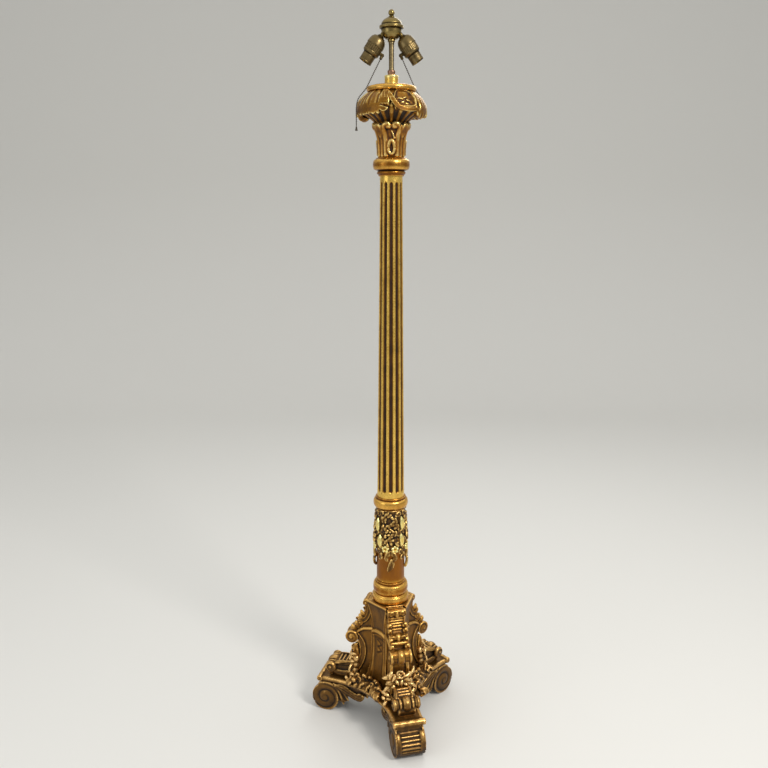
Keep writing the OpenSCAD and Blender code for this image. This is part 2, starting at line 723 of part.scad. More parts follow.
arm_r = 4.8;
arm_bore_r = 3.3;
arm_in = 16;
cap_neck_l = 4;
barrel_r = barrel_d / 2;
mouth_r = mouth_d / 2;
cap_l = 18;
cap_up = 8;
shell_z = cap_l - 2;
shoulder_z = 34;
neck_z = 39;
lever_pivot_z = 17;
lever_l = 9;
spout_z = 25;
spout_r = 4;
spout_reach = 25;

module arm_hole() translate([0, 0, -arm_in - 4]) cylinder(r = arm_r + fit_gap, h = arm_in + 4);
module arm(side) {
    color(old_brass) at_socket(side) difference() {
        translate([0, 0, -arm_in]) cylinder(r = arm_r, h = arm_in + cap_neck_l);
        translate([0, 0, -arm_in - 1]) cylinder(r = arm_bore_r, h = arm_in + cap_neck_l + 2);
        rotate([0, socket_splay - 180, 0]) translate([-socket_out, 0, -socket_z]) difference() {
            cup_solid(fit_gap);
            at_socket(1) arm_hole();
        }
        cylinder(r = barrel_r, h = cap_l);
    }
    color(old_brass) at_socket(side) tube(arm_r, arm_bore_r, -eps, cap_neck_l);
}

module socket_cap(side) {
    lip = barrel_r + fit_gap;
    color(bronze) at_socket(side) difference() {
        rotate_extrude($fn = 64) polygon([[arm_r + fit_gap, -cap_up], [7.5, -cap_up], [7.5, 2.5 - cap_up],
            [11, 3.4 - cap_up], [15.2, -1.5], [18.2, 3], [barrel_r + 0.1, 8.5], [lip + 0.7, 13.5], [lip + 0.7, cap_l],
            [lip, cap_l], [lip, shell_z - 0.5], [barrel_r - 1.1, 12], [17, 3.6], [14, -0.4], [10.4, -3],
            [arm_r + fit_gap, -3]]);
        spout_hole();
    }
}

module spout_hole() translate([0, 0, spout_z]) rotate([0, 90, 0]) cylinder(r = spout_r + fit_gap, h = spout_reach);

module socket_shell(side) {
    w = shell_wall;
    color(bronze) at_socket(side) difference() {
        rotate_extrude($fn = 64) polygon([[barrel_r, shell_z], [barrel_r, shoulder_z], [mouth_r + 1.5, neck_z - 1],
            [mouth_r, neck_z], [mouth_r, socket_l], [mouth_r - w, socket_l], [mouth_r - w, neck_z],
            [mouth_r + 1.5 - w, neck_z - 1], [barrel_r - w, shoulder_z], [barrel_r - w, shell_z]]);
        spout_hole();
    }
}

liner_out = shell_wall + fit_gap;
module socket_liner(side) {
    g = liner_out;
    w = liner_out + liner_wall;
    color(fibre) at_socket(side) difference() {
        rotate_extrude($fn = 64) polygon([[barrel_r - g, shell_z], [barrel_r - g, shoulder_z - 0.2],
            [mouth_r + 1.5 - g, neck_z - 1.2], [mouth_r - g, neck_z], [mouth_r - g, socket_l - 1],
            [mouth_r - w, socket_l - 1], [mouth_r - w, neck_z], [mouth_r + 1.5 - w, neck_z - 1.2],
            [barrel_r - w, shoulder_z - 0.2], [barrel_r - w, shell_z]]);
        spout_hole();
    }
}

body_r = barrel_r - liner_out - liner_wall - fit_gap;
body_z = 14;
body_end = 33;
step_h = 3;
contact_r = 5;
module socket_body(side) {
    color(bakelite) at_socket(side) difference() {
        union() {
            translate([0, 0, body_z]) cylinder(r = body_r, h = body_end - body_z, $fn = 64);
            translate([0, 0, body_end - eps]) cylinder(r = bulb_d / 2 - 1.5, h = step_h, $fn = 64);
        }
        translate([0, 0, body_end]) cylinder(r = contact_r + 1.5, h = step_h + 1, $fn = 64);
        translate([-3.5, -2.6, body_z - 1]) cube([body_r + 4, 5.2, 16.5]);
        translate([0, body_r, lever_pivot_z]) rotate([90, 0, 0]) cylinder(r = 1.6, h = 2 * body_r, $fn = 24);
        spout_hole();
    }
}

screw_shell_wall = 0.4;
module screw_shell(side) color(brass) at_socket(side) difference() {
    translate([0, 0, body_end]) cylinder(r = bulb_d / 2 + screw_shell_wall, h = socket_l - 1 - body_end, $fn = 64);
    translate([0, 0, body_end + step_h]) cylinder(r = bulb_d / 2, h = socket_l, $fn = 64);
    translate([0, 0, body_end - 1]) cylinder(r = bulb_d / 2 - 1.5 + fit_gap, h = 5, $fn = 64);
}

module centre_contact(side) color(brass) at_socket(side) {
    translate([0, 0, body_end]) cylinder(r = contact_r, h = 0.8);
    translate([0, 0, body_end + 0.8 - eps]) cylinder(r1 = 3.5, r2 = 2, h = 1.6);
}

// ---- Pull switches, chains and bells ----

module switch_lever(side) color(brass) at_socket(side) {
    translate([0, 5, lever_pivot_z]) rotate([90, 0, 0]) cylinder(r = 1.5, h = 10, $fn = 24);
    translate([-1.6, -1.4, lever_pivot_z]) cube([3.2, 2.8, lever_l]);
}

// Routes of the chains: straight out of the spout, past the ring, over a leaf and down
chain_route_left = [[-22, -0.5, 1672.5], [-30.5, -5.5, 1655], [-39.5, -10.5, 1637], [-48, -15.5, 1619.5],
    [-56.5, -20.5, 1602], [-60.6, -22.2, 1596.4], [-64.5, -23.5, 1591.5], [-72, -26, 1583], [-74.5, -26.9, 1579.1],
    [-76.5, -27.5, 1575], [-79, -28.5, 1566], [-80, -29, 1556], [-80, -29, 1546], [-80, -29, 1536],
    [-80, -29, 1526], [-80, -29, 1516]];
chain_route_right = [[22, 0.5, 1672.5], [30.5, 5, 1655], [39.5, 9.5, 1637], [48, 14.5, 1619.5],
    [57, 19, 1602], [60.9, 20.7, 1596.4], [64.5, 22, 1591.5], [68.3, 23.5, 1587], [72, 25, 1583],
    [74.5, 26.4, 1579.1], [76.5, 27.5, 1575], [78, 28.4, 1570.5], [79, 29, 1566], [79.4, 29.6, 1562],
    [79.5, 30, 1558], [79.5, 30, 1551]];

function unit(v) = v / norm(v);
function aim(v) = [0, acos(v[2] / norm(v)), atan2(v[1], v[0])];
// Sections at right angles to the run through each route point
function ring_at(route, i, r, sides) = let (n = len(route), d = unit(route[min(i + 1, n - 1)] - route[max(i - 1, 0)]),
    a = unit(cross(d, [0.3, 1, 0])), b = cross(d, a))
    [for (k = [0:sides - 1]) route[i] + r * (cos(360 / sides * k) * a + sin(360 / sides * k) * b)];
module swept(route, d, sides = 8) {
    n = len(route);
    polyhedron([for (i = [0:n - 1]) each ring_at(route, i, d / 2, sides)],
        concat([[for (k = [0:sides - 1]) k]], [[for (k = [sides - 1:-1:0]) (n - 1) * sides + k]],
            [for (i = [0:n - 2], k = [0:sides - 1]) let (a = i * sides + k, b = i * sides + (k + 1) % sides)
                each [[a, a + sides, b], [b, a + sides, b + sides]]]));
}
module pull_chain(route) color(bronze) swept(route, chain_d);
module pull_bell(route) color(bronze) translate(route[len(route) - 1] - [0, 0, bell_h]) rotate_extrude($fn = 32)
    polygon([[0, 0], [bell_d / 2, 0], [bell_d / 2, 1], [bell_d / 2 - 0.8, 4], [1.8, bell_h], [0, bell_h]]);

nozzle_l = 9;
nozzle_bore_r = chain_d / 2 + 0.6;
nozzle_wall = 1.2;
module pull_spout(side, route) {
    elbow = [side * (socket_out + spout_z * sin(socket_splay) - spout_reach * cos(socket_splay)), 0,
        socket_z - spout_z * cos(socket_splay) - spout_reach * sin(socket_splay)];
    turn = aim(route[4] - route[0]);
    color(bronze) difference() {
        union() {
            at_socket(side) translate([0, 0, spout_z]) rotate([0, 90, 0]) translate([0, 0, body_r - 2])
                cylinder(r = spout_r, h = spout_reach - body_r + 2, $fn = 32);
            translate(elbow) sphere(r = spout_r + 0.4, $fn = 32);
            translate(elbow) rotate(turn) cylinder(r = nozzle_bore_r + nozzle_wall, h = nozzle_l, $fn = 32);
        }
        translate(elbow) rotate(turn) cylinder(r = nozzle_bore_r, h = nozzle_l + 1, $fn = 32);
        translate(elbow) sphere(r = nozzle_bore_r, $fn = 32);
        at_socket(side) translate([0, 0, spout_z]) rotate([0, 90, 0]) cylinder(r = 1.8, h = spout_reach, $fn = 24);
    }
}

// ---- Fasteners and wiring ----

module bottom_washer() color(steel) tube(washer_d / 2, rod_d / 2 + 0.2, washer_z, washer_t);
module bottom_nut() color(steel) difference() {
    translate([0, 0, nut_z]) cylinder(d = nut_af / cos(30), h = nut_h, $fn = 6);
    translate([0, 0, nut_z - 1]) cylinder(r = rod_d / 2 + fit_gap, h = nut_h + 2);
}
bushing_lip = 3;
inlet_r = 4;
module cord_bushing() color(bakelite) difference() {
    translate([0, 0, rod_foot - bushing_lip]) cylinder(r = rod_d / 2 + 2.5, h = bushing_lip + 6);
    translate([0, 0, rod_foot]) cylinder(r = rod_d / 2 + fit_gap, h = 7);
    translate([0, 0, rod_foot - bushing_lip - 1]) cylinder(r = inlet_r, h = bushing_lip + 2);
}

lead_out = 1.55;
lead_top = cup_z + 15;
wire_nut_r = 5;
module leads() color("#3A3026") {
    for (side = [-1, 1]) {
        translate([0, side * lead_out, nut_z + nut_h]) cylinder(d = lead_d, h = lead_top - nut_z - nut_h, $fn = 24);
        at_socket(side) for (pair = [-1, 1]) translate([0, pair * lead_out, -arm_in + 2])
            cylinder(d = lead_d, h = arm_in - 2 + body_z, $fn = 24);
    }
}
module wire_nuts() color("#C9BFA8") for (side = [-1, 1])
    translate([0, side * (rod_d / 2 + wire_nut_r + 0.3), cup_z + spun_wall + 5])
        cylinder(r1 = wire_nut_r, r2 = wire_nut_r * 0.7, h = 15, $fn = 32);

leg(0);  // leg_front
leg(1);  // leg_right
leg(2);  // leg_left
base_plate();
knee_scroll(0);  // knee_scroll_front
knee_scroll(1);  // knee_scroll_right
knee_scroll(2);  // knee_scroll_left
leaf_garland();
pedestal_core();
corner_scroll(0);  // corner_scroll_front
corner_scroll(1);  // corner_scroll_right
corner_scroll(2);  // corner_scroll_left
face_panels();
base_collar();
vase_ring();
vase();
festoons();
shaft_collar_lower();
shaft();
shaft_collar_upper();
calyx();
crown();
crown_ring();
candle_cup();
stem_locknut();
stem();
cluster_coupling();
cluster_cup();
cluster_cap();
finial();
arm(-1);  // arm_left
arm(1);  // arm_right
socket_cap(-1);  // socket_cap_left
socket_cap(1);  // socket_cap_right
socket_shell(-1);  // socket_shell_left
socket_shell(1);  // socket_shell_right
socket_liner(-1);  // socket_liner_left
socket_liner(1);  // socket_liner_right
socket_body(-1);  // socket_body_left
socket_body(1);  // socket_body_right
screw_shell(-1);  // screw_shell_left
screw_shell(1);  // screw_shell_right
centre_contact(-1);  // centre_contact_left
centre_contact(1);  // centre_contact_right
pull_spout(-1, chain_route_left);  // pull_spout_left
pull_spout(1, chain_route_right);  // pull_spout_right
switch_lever(-1);  // switch_lever_left
switch_lever(1);  // switch_lever_right
pull_chain(chain_route_left);  // pull_chain_left
pull_chain(chain_route_right);  // pull_chain_right
pull_bell(chain_route_left);  // pull_bell_left
pull_bell(chain_route_right);  // pull_bell_right
centre_rod();
bottom_nut();
bottom_washer();
leads();
wire_nuts();
cord_bushing();
leg_screws();
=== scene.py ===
"""Looks of a carved and gilded candlestick floor lamp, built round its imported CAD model.

Lengths inside this file are millimetres, and are turned to metres where a mesh is made.
Each carved piece is put together from closed shells, joined by a voxel remesh as gesso joins
carved wood, and then measured for ridges and hollows, which the gilding reads.
"""

import math

import bmesh
import bpy
import numpy as np
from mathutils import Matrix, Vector


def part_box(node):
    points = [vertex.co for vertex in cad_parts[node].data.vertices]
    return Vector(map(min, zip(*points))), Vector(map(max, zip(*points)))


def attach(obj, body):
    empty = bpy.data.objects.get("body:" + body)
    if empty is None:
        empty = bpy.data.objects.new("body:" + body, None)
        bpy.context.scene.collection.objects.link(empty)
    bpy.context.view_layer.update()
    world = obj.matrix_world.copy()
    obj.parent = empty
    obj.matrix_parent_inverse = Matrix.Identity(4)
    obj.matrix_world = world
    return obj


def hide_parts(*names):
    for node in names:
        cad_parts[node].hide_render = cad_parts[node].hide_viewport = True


bl_info = {
    "name": "Candlestick Floor Lamp",
    "version": (1, 0, 0),
    "blender": (4, 5, 0),
    "location": "3D View > Sidebar > Lamp",
    "description": "Builds the gilding, carving and fittings of a candlestick floor lamp",
    "category": "Add Mesh",
}

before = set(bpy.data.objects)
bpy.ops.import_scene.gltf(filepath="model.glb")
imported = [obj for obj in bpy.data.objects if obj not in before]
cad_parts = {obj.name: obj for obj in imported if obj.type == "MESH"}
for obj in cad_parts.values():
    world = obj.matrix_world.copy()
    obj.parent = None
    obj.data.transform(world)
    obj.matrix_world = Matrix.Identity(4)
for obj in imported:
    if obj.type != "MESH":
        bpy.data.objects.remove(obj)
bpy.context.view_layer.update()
MM = 0.001


def node_z(name):
    """Lowest and highest point of a CAD node, in millimetres."""
    low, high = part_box(name)
    return low[2] / MM, high[2] / MM


# ---------------------------------------------------------------------------------------------
# Sizes and colours that a user may change


class LampSizes(bpy.types.PropertyGroup):
    """Sizes of the carving and the fittings."""

    flutes: bpy.props.IntProperty(
        name="Flutes", description="Number of flutes round the shaft", default=12, min=6, max=20
    )
    flute_depth: bpy.props.FloatProperty(
        name="Flute depth",
        description="Depth of the flutes at the foot of the shaft",
        default=0.004,
        min=0.001,
        max=0.006,
        unit="LENGTH",
    )
    chain_bead: bpy.props.FloatProperty(
        name="Chain bead",
        description="Diameter of the beads of the pull chains",
        default=0.0032,
        min=0.0024,
        max=0.0034,
        unit="LENGTH",
    )
    carving_grain: bpy.props.FloatProperty(
        name="Carving grain",
        description="Edge of the voxels that join the carved shells, near the foot",
        default=0.00132,
        min=0.0008,
        max=0.003,
        unit="LENGTH",
    )


class LampFinish(bpy.types.PropertyGroup):
    """Colours of the gilding and the metal."""

    # Gold is the brightest stop of the shaft's gilding: burnished leaf on fillets and tops, and there also a
    # painted highlight
    gold: bpy.props.StringProperty(
        name="Gold", description="Burnished leaf on the edges, sRGB hex", default="F2C862"
    )
    toned: bpy.props.StringProperty(
        name="Toned gold", description="Matt toned leaf on the flats, sRGB hex", default="935A14"
    )
    brass: bpy.props.StringProperty(
        name="Brass", description="Old lacquered brass of the cluster, sRGB hex", default="94804E"
    )


class LampStage(bpy.types.PropertyGroup):
    """Camera, light and floor."""

    lens: bpy.props.FloatProperty(
        name="Lens", description="Focal length on a 36 mm sensor", default=37.5, min=18, max=120
    )
    distance: bpy.props.FloatProperty(
        name="Distance",
        description="Distance of the camera from the lamp's centre line",
        default=1.937,
        unit="LENGTH",
    )
    height: bpy.props.FloatProperty(
        name="Height", description="Height of the camera over the floor", default=1.325, unit="LENGTH"
    )
    pitch: bpy.props.FloatProperty(
        name="Pitch",
        description="How far the camera looks down",
        default=math.radians(12.1),
        subtype="ANGLE",
    )
    floor: bpy.props.StringProperty(
        name="Floor", description="Colour of the floor and backdrop, sRGB hex", default="E4E3DF"
    )


# ---------------------------------------------------------------------------------------------
# Nodes and colours


def linear(code):
    """Linear RGBA of an sRGB hex colour."""
    parts = [int(code[i : i + 2], 16) / 255 for i in (0, 2, 4)]
    return tuple(c / 12.92 if c <= 0.04045 else ((c + 0.055) / 1.055) ** 2.4 for c in parts) + (1.0,)


def add(tree, kind, settings=None, links=None):
    """Adds a node, with its settings and what goes into its sockets: a value, or another node's socket."""
    made = tree.nodes.new(kind)
    for name, value in (settings or {}).items():
        setattr(made, name, value)
    for name, value in (links or {}).items():
        socket = made.inputs[name]
        if isinstance(value, bpy.types.NodeSocket):
            tree.links.new(value, socket)
        else:
            socket.default_value = value
    return made


def new_material(name):
    """An empty material and its node tree, with a surface and an output."""
    material = bpy.data.materials.new(name)
    material.use_nodes = True
    tree = material.node_tree
    tree.nodes.clear()
    surface = add(tree, "ShaderNodeBsdfPrincipled")
    add(tree, "ShaderNodeOutputMaterial", links={"Surface": surface.outputs["BSDF"]})
    return material, tree, surface


# Width of the patches of leaf, in metres
LEAF_PATCH = 0.026


def bumped(tree, surface, height, strength, depth):
    """Gives a surface the small relief of a height, that deep in metres."""
    bump = add(tree, "ShaderNodeBump", links={"Strength": strength, "Distance": depth, "Height": height})
    tree.links.new(bump.outputs["Normal"], surface.inputs["Normal"])


def gilding(name, tones, rough=(0.62, 0.34), metal=(0.35, 0.85), hollow_toning_and_shade=0.62, ridge_burnish_and_highlight=0.42,
            level=0.5):
    """Gold leaf over gesso and clay on carved wood.

    Leaf is bright where hands and cloth burnish it on the ridges, with a painted highlight there too, and
    faces that look up are painted lighter, undersides darker, as light from above leaves them. In the
    hollows the leaf is browned by size, wax and dust, and shade is painted there too. Patches of leaf
    differ in tone, fine rubbing shows the clay, and the gesso under it has a pitted, hand-smoothed surface.
    """
    material, tree, surface = new_material(name)
    place = add(tree, "ShaderNodeTexCoord").outputs["Object"]
    ridge = add(tree, "ShaderNodeAttribute", {"attribute_name": "ridge"}).outputs["Fac"]
    hollow = add(tree, "ShaderNodeAttribute", {"attribute_name": "hollow"}).outputs["Fac"]
    # Painted top light: faces that look up are painted lighter and undersides darker, as light from above
    # leaves them
    painted_top_light = add(tree, "ShaderNodeNewGeometry").outputs["Normal"]
    painted_top_light = add(tree, "ShaderNodeSeparateXYZ", links={0: painted_top_light}).outputs["Z"]
    drawn_out = add(tree, "ShaderNodeMapping",
                    links={"Vector": place, "Scale": (1.0, 1.0, 0.18)}).outputs["Vector"]
    noise = {}
    for what, where, scale, detail, roughness in (
        ("patches of leaf that overlap", place, 1 / LEAF_PATCH, 3.0, 0.55),
        ("rubbing and size stains", place, 330.0, 4.0, 0.6),
        ("long drips of toning wax", drawn_out, 120.0, 3.0, 0.5),
        ("size of the chips", place, 60.0, 2.0, 0.5),
        ("pits in the gesso", place, 620.0, 3.0, 0.6),
        ("tool marks", place, 170.0, 2.0, 0.5),
    ):
        links = {"Vector": where, "Scale": scale, "Detail": detail, "Roughness": roughness}
        noise[what] = add(tree, "ShaderNodeTexNoise", links=links).outputs["Fac"]
    # Ridges raise the ramp's input, for burnish and a painted highlight; hollows lower it, for toning and
    # painted shade
    total = level
    for source, weight in ((ridge, ridge_burnish_and_highlight), (hollow, hollow_toning_and_shade), (painted_top_light, 0.2)):
        total = add(tree, "ShaderNodeMath", {"operation": "MULTIPLY_ADD"},
                    {0: source, 1: weight, 2: total}).outputs[0]
    stained = (("patches of leaf that overlap", 0.3), ("rubbing and size stains", 0.26),
               ("long drips of toning wax", 0.22))
    for what, weight in stained:
        stain = add(tree, "ShaderNodeMath", {"operation": "SUBTRACT"}, {0: noise[what], 1: 0.5}).outputs[0]
        total = add(tree, "ShaderNodeMath", {"operation": "MULTIPLY_ADD"},
                    {0: stain, 1: weight, 2: total}).outputs[0]
    # Darkest tone in the depths, partly painted shade, up to the brightest on edges and tops, partly a
    # painted highlight
    toning = add(tree, "ShaderNodeValToRGB", links={"Fac": total})
    stops = toning.color_ramp.elements
    stops[0].position, stops[1].position = 0.08, 0.94
    stops[0].color, stops[1].color = linear(tones[0]), linear(tones[3])
    for position, code in ((0.34, tones[1]), (0.62, tones[2])):
        stops.new(position).color = linear(code)
    # Small chips down to the brown ground, a few millimetres apart
    chips = add(tree, "ShaderNodeTexVoronoi", {"feature": "F1"},
                {"Vector": place, "Scale": 210.0}).outputs["Distance"]
    edge = {"Value": noise["size of the chips"], 1: 0.6, 2: 0.72, 3: 0.0, 4: 0.3}
    edge = add(tree, "ShaderNodeMapRange", links=edge).outputs[0]
    chip = add(tree, "ShaderNodeMath", {"operation": "LESS_THAN"}, {0: chips, 1: edge}).outputs[0]
    mixed = {0: chip, 6: toning.outputs["Color"], 7: linear(tones[1])}
    colour = add(tree, "ShaderNodeMix", {"data_type": "RGBA"}, mixed)
    tree.links.new(colour.outputs[2], surface.inputs["Base Color"])
    # Polished and metallic where the leaf is whole
    shine = add(tree, "ShaderNodeMapRange", links={"Value": total, 1: 0.1, 2: 0.85, 3: rough[0],
                                                   4: rough[1]}).outputs[0]
    smear = {0: noise["rubbing and size stains"], 1: 0.5}
    smear = add(tree, "ShaderNodeMath", {"operation": "SUBTRACT"}, smear).outputs[0]
    shine = add(tree, "ShaderNodeMath", {"operation": "MULTIPLY_ADD"},
                {0: smear, 1: 0.22, 2: shine}).outputs[0]
    tree.links.new(shine, surface.inputs["Roughness"])
    whole = add(tree, "ShaderNodeMapRange", links={"Value": total, 1: 0.0, 2: 0.75, 3: metal[0],
                                                   4: metal[1]}).outputs[0]
    tree.links.new(whole, surface.inputs["Metallic"])
    # Pits and tool marks 1 to 4 mm wide, drawn a little coarser than they are so that they show
    height = {0: noise["pits in the gesso"], 1: 0.35, 2: noise["tool marks"]}
    height = add(tree, "ShaderNodeMath", {"operation": "MULTIPLY_ADD"}, height).outputs[0]
    bumped(tree, surface, height, 0.4, 0.001)
    return material


def metal_finish(name, tones, rough, spots=0.5, brushed=False):
    """Spun, drawn or stamped metal: one colour that tarnishes in patches and in hollows.

    tones are the tarnish and the clean metal. Fingers and old lacquer leave spots 4 to 15 mm wide.
    """
    material, tree, surface = new_material(name)
    place = add(tree, "ShaderNodeTexCoord").outputs["Object"]
    if brushed:
        place = add(tree, "ShaderNodeMapping",
                    links={"Vector": place, "Scale": (1.0, 1.0, 9.0)}).outputs["Vector"]
    hollow = add(tree, "ShaderNodeAttribute", {"attribute_name": "hollow"}).outputs["Fac"]
    broad, fine = {"Scale": 75.0, "Detail": 4.0}, {"Scale": 480.0, "Detail": 3.0}
    broad = add(tree, "ShaderNodeTexNoise", links={"Vector": place, "Roughness": 0.6,
                                                   **broad}).outputs["Fac"]
    fine = add(tree, "ShaderNodeTexNoise", links={"Vector": place, "Roughness": 0.6, **fine}).outputs["Fac"]
    total = broad
    for source, weight in ((hollow, 1.2), (fine, 0.3)):
        total = add(tree, "ShaderNodeMath", {"operation": "MULTIPLY_ADD"},
                    {0: source, 1: weight, 2: total}).outputs[0]
    clean = {"Value": total, 1: 0.65 - spots / 2, 2: 0.65 + spots / 3, 3: 0.0, 4: 1.0}
    clean = add(tree, "ShaderNodeMapRange", links=clean).outputs[0]
    mixed = {0: clean, 6: linear(tones[0]), 7: linear(tones[1])}
    colour = add(tree, "ShaderNodeMix", {"data_type": "RGBA"}, mixed)
    tree.links.new(colour.outputs[2], surface.inputs["Base Color"])
    shine = add(tree, "ShaderNodeMapRange", links={"Value": total, 1: 0.3, 2: 0.95, 3: rough + 0.2,
                                                   4: rough})
    tree.links.new(shine.outputs[0], surface.inputs["Roughness"])
    surface.inputs["Metallic"].default_value = 1.0
    bumped(tree, surface, fine, 0.3, 0.0002)
    return material


def moulded_finish(name, tones, rough, scale=160.0):
    """Pressed fibre, phenolic or glazed stuff: no metal, a faint mottle and a soft sheen."""
    material, tree, surface = new_material(name)
    place = add(tree, "ShaderNodeTexCoord").outputs["Object"]
    mottle = {"Vector": place, "Scale": scale, "Detail": 4.0, "Roughness": 0.65}
    mottle = add(tree, "ShaderNodeTexNoise", links=mottle).outputs["Fac"]
    toning = add(tree, "ShaderNodeValToRGB", links={"Fac": mottle})
    for stop, position, code in zip(toning.color_ramp.elements, (0.3, 0.7), tones):
        stop.position = position
        stop.color = linear(code)
    tree.links.new(toning.outputs["Color"], surface.inputs["Base Color"])
    shine = add(tree, "ShaderNodeMapRange", links={"Value": mottle, 3: rough - 0.06, 4: rough + 0.08})
    tree.links.new(shine.outputs[0], surface.inputs["Roughness"])
    surface.inputs["IOR"].default_value = 1.5
    bumped(tree, surface, mottle, 0.25, 0.0002)
    return material


MATERIALS = {}


def make_materials(finish):
    """Every finish on the lamp, by the name that the pieces use.

    Gilding has four tones, from the depths, which also carry painted shade, to the burnished edges, which
    also carry a painted highlight; metal and mouldings have two.
    """
    gold, toned = finish.gold, finish.toned
    gildings = {
        # Oil-gilded pine, bronzed and waxed: brown in the depths with painted shade, dull copper gold with a
        # painted highlight on the carving's tops
        "foot gilding": ("Bronzed oil gilding, feet", ("100802", "3A270F", "765324", "E6B66C"),
                         {"rough": (0.58, 0.29), "ridge_burnish_and_highlight": 0.5, "level": 0.42}),
        "pedestal gilding": ("Bronzed oil gilding, pedestal", ("170B03", "4C320E", "8E601E", "ECBA66"),
                             {"rough": (0.54, 0.31), "level": 0.48}),
        "garland gilding": ("Worn oil gilding, petals and berries", ("120A03", "423010", "8E652A", "FAD08A"),
                            {"rough": (0.52, 0.28), "ridge_burnish_and_highlight": 0.6, "level": 0.46}),
        # Water gilding toned with umber: dark with painted shade in the flutes and under the leaves, yellow
        # with a painted highlight on the ridges
        "column gilding": ("Toned water gilding, shaft", ("1E0D02", "58330A", "9A6A1C", gold),
                           {"rough": (0.5, 0.28), "hollow_toning_and_shade": 0.85, "ridge_burnish_and_highlight": 0.72, "level": 0.46}),
        "capital gilding": ("Toned water gilding, capital", ("120602", "4A2A08", "98681C", "FFE08A"),
                            {"rough": (0.48, 0.26), "hollow_toning_and_shade": 0.8, "ridge_burnish_and_highlight": 0.55, "level": 0.45}),
        "calyx gilding": ("Toned water gilding, calyx", ("1C0A02", "63390A", "B0782A", "FFE08C"),
                          {"rough": (0.48, 0.27), "hollow_toning_and_shade": 0.8, "level": 0.53}),
        "festoon gilding": ("Waxed gilding, festoons", ("140802", "422A0C", "7C5622", "F0C878"),
                            {"rough": (0.52, 0.3), "ridge_burnish_and_highlight": 0.7, "level": 0.4}),
        "husk gilding": ("Bright leaf, husks", ("5A3A10", "A87822", "EBC660", "FFF0A0"),
                         {"rough": (0.45, 0.28), "level": 0.62}),
        # Plain drum: smooth orange gold size with little leaf left, satin
        "drum gilding": ("Rubbed leaf on orange clay, vase", ("4A2607", "74420C", toned, "C08C36"),
                         {"rough": (0.5, 0.38), "level": 0.52}),
        # Burnished mouldings: agate-polished leaf with a soft mirror band and a painted highlight on the
        # crest, painted shade brown where it turns under
        "burnished gilding": ("Burnished water gilding, mouldings", ("241003", "663A0C", "955C18", "EEB858"),
                              {"rough": (0.4, 0.25), "metal": (0.5, 0.95), "level": 0.44}),
        # Candle cup: the brightest leaf on the lamp
        "cup gilding": ("Burnished leaf, candle cup", ("5A3A10", "A97A22", "E2B44A", "FFE894"),
                        {"rough": (0.4, 0.26), "level": 0.6}),
    }
    metals = {
        "aged brass": ("Aged lacquered brass, spun", ("2A200E", finish.brass), 0.27),
        "stem brass": ("Aged brass tube, drawn", ("3A3220", "8A7A58"), 0.34, 0.5, True),
        "copper brass": ("Copper-coloured low brass, turned", ("5E4030", "A07A62"), 0.36),
        "socket bronze": ("Bronzed brass shell, stamped", ("241B0E", "7C6A46"), 0.36, 0.6),
        "chain bronze": ("Darkened brass bead chain", ("2A251E", "5E564A"), 0.36),
        "contact brass": ("Bright yellow brass, pressed", ("8A7238", "D8BE78"), 0.24),
        "steel": ("Zinc-plated steel", ("6E6F70", "A9AAAB"), 0.38),
    }
    mouldings = {
        "fibre": ("Vulcanised fibre liner", ("4A3A26", "6B563A"), 0.6),
        "bakelite": ("Phenolic moulding, black", ("141210", "241F1B"), 0.34),
        "lead cloth": ("Braided cotton over rubber lead", ("2B231A", "4A3D2D"), 0.8, 900.0),
        "wire nut": ("Glazed ceramic wire connector", ("C9BFA8", "D9D1BE"), 0.3),
    }
    MATERIALS.update({key: gilding(title, tones, **more) for key, (title, tones, more) in gildings.items()})
    MATERIALS.update({key: metal_finish(*values) for key, values in metals.items()})
    MATERIALS.update({key: moulded_finish(*values) for key, values in mouldings.items()})


# ---------------------------------------------------------------------------------------------
# Shells: a shell is its points and its faces, and a shape is a list of shells


def ramp(x, start, run):
    """0 up to a start and 1 past the run, which goes downwards if it is negative."""
    return np.clip((x - start) / run, 0, 1)


def bell(x, place, width):
    """1 at a place, falling away on both sides over about a width."""
    return np.exp(-(((x - place) / width) ** 2))


def half_round(x, radius):
    """Height of a round moulding: 1 on its middle line and 0 from its radius on."""
    return np.sqrt(np.clip(1 - (x / radius) ** 2, 0, 1))


def grid_faces(rows, cols, wrap=False):
    """Quads of a grid of rows by columns, whose columns may close round."""
    i, j = np.meshgrid(np.arange(rows - 1), np.arange(cols if wrap else cols - 1), indexing="ij")
    k = (j + 1) % cols
    return np.stack([i * cols + j, i * cols + k, (i + 1) * cols + k, (i + 1) * cols + j], -1).reshape(-1, 4)


def slab(top, bottom):
    """Closed shell between two grids of points of one shape."""
    rows, cols = top.shape[:2]
    count = rows * cols
    faces = grid_faces(rows, cols)
    edge = np.concatenate(
        [
            np.arange(cols - 1),
            np.arange(rows - 1) * cols + cols - 1,
            (rows - 1) * cols + np.arange(cols - 1, 0, -1),
            np.arange(rows - 1, 0, -1) * cols,
        ]
    )
    following = np.roll(edge, -1)
    rim = np.stack([following, edge, edge + count, following + count], 1)
    points = np.concatenate([top.reshape(-1, 3), bottom.reshape(-1, 3)])
    return points, [np.concatenate([faces, faces[:, ::-1] + count, rim])]


